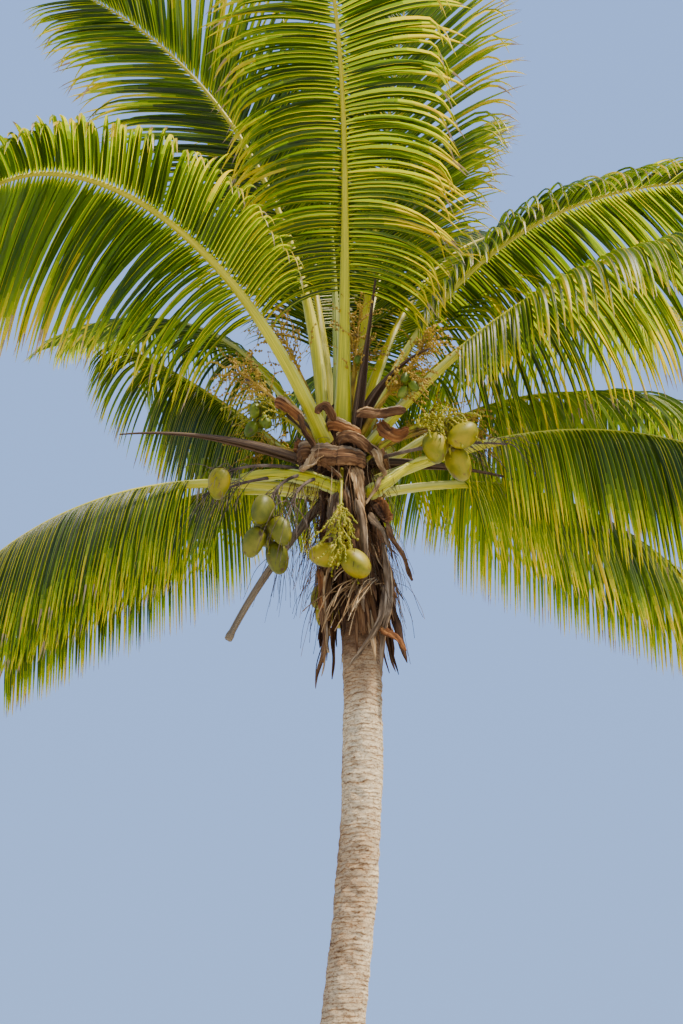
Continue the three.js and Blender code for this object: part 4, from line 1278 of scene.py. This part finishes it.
# flower stalks without nuts: the limb's six values, then the same four
FLOWERS = [
    (-140, 62, 10, 0.95, 0.24, 0, 34, 0.40, 0.6, ORANGE),
    (-165, 46, 14, 1.00, 0.18, 0, 34, 0.42, 0.8, ORANGE),
    (-62, 80, 4, 1.05, 0.36, 0, 26, 0.38, 0.6, ORANGE),
    (-26, 56, 16, 1.05, 0.22, 0, 34, 0.42, 1.0, ORANGE),
    (0, 30, 26, 1.00, 0.10, 0, 44, 0.42, 1.4, ORANGE),
    (-14, 12, 26, 1.25, 0.02, 0, 22, 0.55, 3.0, DRIED),
    (-170, -2, 30, 0.95, -0.10, 0, 20, 0.60, 4.0, DRIED),
    (-128, -20, 50, 0.70, -0.16, 0, 18, 0.75, 5.0, DRIED),
    (30, 40, 20, 0.95, 0.16, 0, 34, 0.42, 0.9, ORANGE),
    (68, 52, 16, 0.95, 0.20, 0, 34, 0.42, 0.8, ORANGE),
    (104, 30, 24, 0.95, 0.06, 0, 34, 0.42, 1.0, ORANGE),
    (142, 36, 20, 0.95, 0.10, 0, 34, 0.42, 0.9, ORANGE),
    (74, -14, 40, 0.80, -0.18, 0, 20, 0.65, 4.5, DRIED),
    (128, -10, 40, 0.80, -0.16, 0, 20, 0.65, 4.5, DRIED),
]
stalks = [(*values[:6], *BUNCH_BRANCHES.get(name, REAR_BRANCHES)) for name, values in BUNCHES.items()]
stalks += FLOWERS

# %% Brushes of branches
TWIG_STATIONS, TWIG_SIDES = 11, 4
STALK_STATIONS, STALK_SIDES = 16, 10
TWIG_RADII = np.array([0.0060, 0.0042, 0.0036])

twig_rng = np.random.default_rng(61)
stalk_lines, twig_lines, twig_finish = [], [], []
for values in stalks:
    count, twig_length, droop, finish = values[6:]
    stalk_lines.append(limb(values, np.linspace(0, 1, STALK_STATIONS))[0])
    place, along, side, up = limb(values, twig_rng.uniform(0.62, 1.0, count))
    turn = twig_rng.uniform(0, LAP, count)[:, None]
    open_by = np.radians(twig_rng.uniform(12, 62, count))[:, None]
    first = along * np.cos(open_by) + np.sin(open_by) * (side * np.cos(turn) + up * np.sin(turn))
    reach = twig_length * twig_rng.uniform(0.6, 1.1, count)
    pull = droop * twig_rng.uniform(0.6, 1.3, count)
    twig_lines.append(hanging_lines(place, first, reach, pull, TWIG_STATIONS, twig_rng, 0.30))
    twig_finish.append(np.full(count, finish))
twig_lines, twig_finish = np.concatenate(twig_lines), np.concatenate(twig_finish)
twig_radius = TWIG_RADII[twig_finish][:, None] * mix(1, 0.45, np.linspace(0, 1, TWIG_STATIONS))
twigs = tubes(twig_lines, twig_radius, TWIG_SIDES)
closed_piece("flower_branches", twigs, branch_finishes, "woody_spathe", dealt=twig_finish)
stalk_tubes = tubes(np.stack(stalk_lines), mix(0.020, 0.008, np.linspace(0, 1, STALK_STATIONS)), STALK_SIDES)
stalk_finish = [values[9] for values in stalks]
closed_piece("bunch_stalks", stalk_tubes, branch_finishes, "green_husk", dealt=stalk_finish)

# %% Buds on the live branches
# one bead of eight faces at every inner station of a green or orange branch
BUD_CORNERS = np.array([(1, 0, 0), (0, 1, 0), (-1, 0, 0), (0, -1, 0), (0, 0, 1.3), (0, 0, -1.3)], float)
BUD_FACES = np.array([(0, 1, 4), (1, 2, 4), (2, 3, 4), (3, 0, 4), (1, 0, 5), (2, 1, 5), (3, 2, 5), (0, 3, 5)])

live = twig_finish != DRIED
seat = twig_lines[live][:, 2:].reshape(-1, 3)
bud_size = twig_rng.uniform(0.006, 0.015, len(seat))[:, None, None]
buds = seat[:, None] + bud_size * BUD_CORNERS + twig_rng.normal(0, 0.004, (len(seat), 1, 3))
bud_faces = ((np.arange(len(seat)) * len(BUD_CORNERS))[:, None, None] + BUD_FACES).reshape(-1, 3)
bud_finish = np.repeat(twig_finish[live], (TWIG_STATIONS - 2) * len(BUD_FACES))
piece("flower_buds", buds, [bud_faces], branch_finishes, "green_husk", which=bud_finish)

# %% Nut stems
STEM_STATIONS, STEM_SIDES = 9, 8


def stem_lines():
    """From the plumb stem to a nut's stem end: a curve of three points, the middle one level with the
    start and over the end. It starts on the stem a little above the nut's stem end."""
    tip = middle - direction * 0.47 * length[:, None]
    start = hang.copy()
    start[:, 2] = np.minimum(hang[:, 2], tip[:, 2] + 0.04)
    bent = tip + (start - tip) * 0.45
    bent[:, 2] = np.maximum(start[:, 2], tip[:, 2]) + 0.012
    t = np.linspace(0, 1, STEM_STATIONS)[None, :, None]
    return start[:, None] * (1 - t) ** 2 + 2 * bent[:, None] * t * (1 - t) + tip[:, None] * t * t


plumb_stems = []
for nuts, _, _, ends in seats.values():
    plumb = np.repeat(ends[:1], STEM_STATIONS, axis=0)
    plumb[:, 2] = np.linspace(ends[0, 2], nuts[-1, 2], STEM_STATIONS)
    plumb[:, :2] += 0.006 * np.sin(np.arange(STEM_STATIONS) * 1.9)[:, None]
    plumb_stems.append(plumb)
every_stem = np.concatenate([stem_lines(), np.stack(plumb_stems)])
stem_radius = np.repeat([0.007, 0.011], [len(middle), len(plumb_stems)])[:, None]
stems = tubes(every_stem, stem_radius, STEM_SIDES)
closed_piece("nut_stems", stems, branch_finishes[:1], "green_husk")

# %% [markdown]
# ## Loose threads
#
# Single fibres hang out of the torn cloth all round the top of the trunk. They are what makes the edge of
# the heap soft. They start on the surface, point outwards, and fall. A tuft of old branches sticks out
# among them, low on the front.

# %% Threads
THREADS, TUFT, THREAD_STATIONS = 620, 26, 9

rng = np.random.default_rng(71)
turn = rng.uniform(0, LAP, THREADS)
centre, radius = surface_at(rng.uniform(5.9, 7.25, THREADS))
threads = hanging_lines(
    centre + radius[:, None] * outward(turn),
    outward(turn) + rng.normal(0, 0.4, (THREADS, 3)),
    rng.uniform(0.12, 0.75, THREADS),
    rng.uniform(3, 9, THREADS),
    THREAD_STATIONS,
    rng,
    0.35,
)
tuft_start = axis_at(np.full(TUFT, 5.88)) + np.array([0.06, -0.27, 0])
tuft = hanging_lines(
    tuft_start + rng.normal(0, 1, (TUFT, 3)) * np.array([0.07, 0.03, 0.05]),
    np.array([-0.8, -0.45, -0.25]) + rng.normal(0, 0.22, (TUFT, 3)),
    rng.uniform(0.28, 0.60, TUFT),
    rng.uniform(1.2, 3.2, TUFT),
    THREAD_STATIONS,
    rng,
    0.15,
)
thread_radius = np.repeat([0.0022, 0.0048], [THREADS, TUFT])[:, None]
thread_finish = rng.choice([CHOCOLATE, BROWN, GREY, STRAW], THREADS, p=[0.35, 0.35, 0.2, 0.1])
closed_piece(
    "loose_threads",
    tubes(np.concatenate([threads, tuft]), thread_radius, 3),
    fibres,
    "dead_fibre",
    dealt=np.concatenate([thread_finish, np.full(TUFT, STRAW)]),
    uv=rng.uniform(0, 9, (THREADS + TUFT, 1, 1, 2)),
)

# %% [markdown]
# ## The spear
#
# The newest leaf stands in the middle of the crown, still folded shut: a pale pleated spear. Its section
# is a star with soft points, one for each pleat, that shrinks to the tip.

# %% Spear
SPEAR = (-130, 88, 4, 2.3, 0.59, 0)
SPEAR_STATIONS, SPEAR_SIDES, PLEATS = 60, 40, 10
SPEAR_COLOURS = [(0.24, 0.30, 0.04), (0.36, 0.40, 0.07), (0.46, 0.44, 0.12)]

u = np.linspace(0, 1, SPEAR_STATIONS)
turn = turns(SPEAR_SIDES)
radius = mix(0.042, 0.005, u)[:, None] * (1 + 0.13 * np.cos(PLEATS * turn + 3 * u[:, None]))
spear = sections(limb(SPEAR, u), radius * np.cos(turn), radius * np.sin(turn))[None]
spear_leaf = mottled("spear_leaf", SPEAR_COLOURS, 5, 0.45, 0.002, 50, (1, 1, 0.2))
closed_piece("folded_spear", spear, [spear_leaf], "green_leaf", replaces=["spear"])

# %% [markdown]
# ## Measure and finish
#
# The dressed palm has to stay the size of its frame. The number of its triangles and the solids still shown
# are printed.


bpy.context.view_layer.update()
print("triangles in all:", sum(made_pieces.values()))
shown = [name for name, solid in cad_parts.items() if not solid.hide_render]
print("solids still shown:", shown)
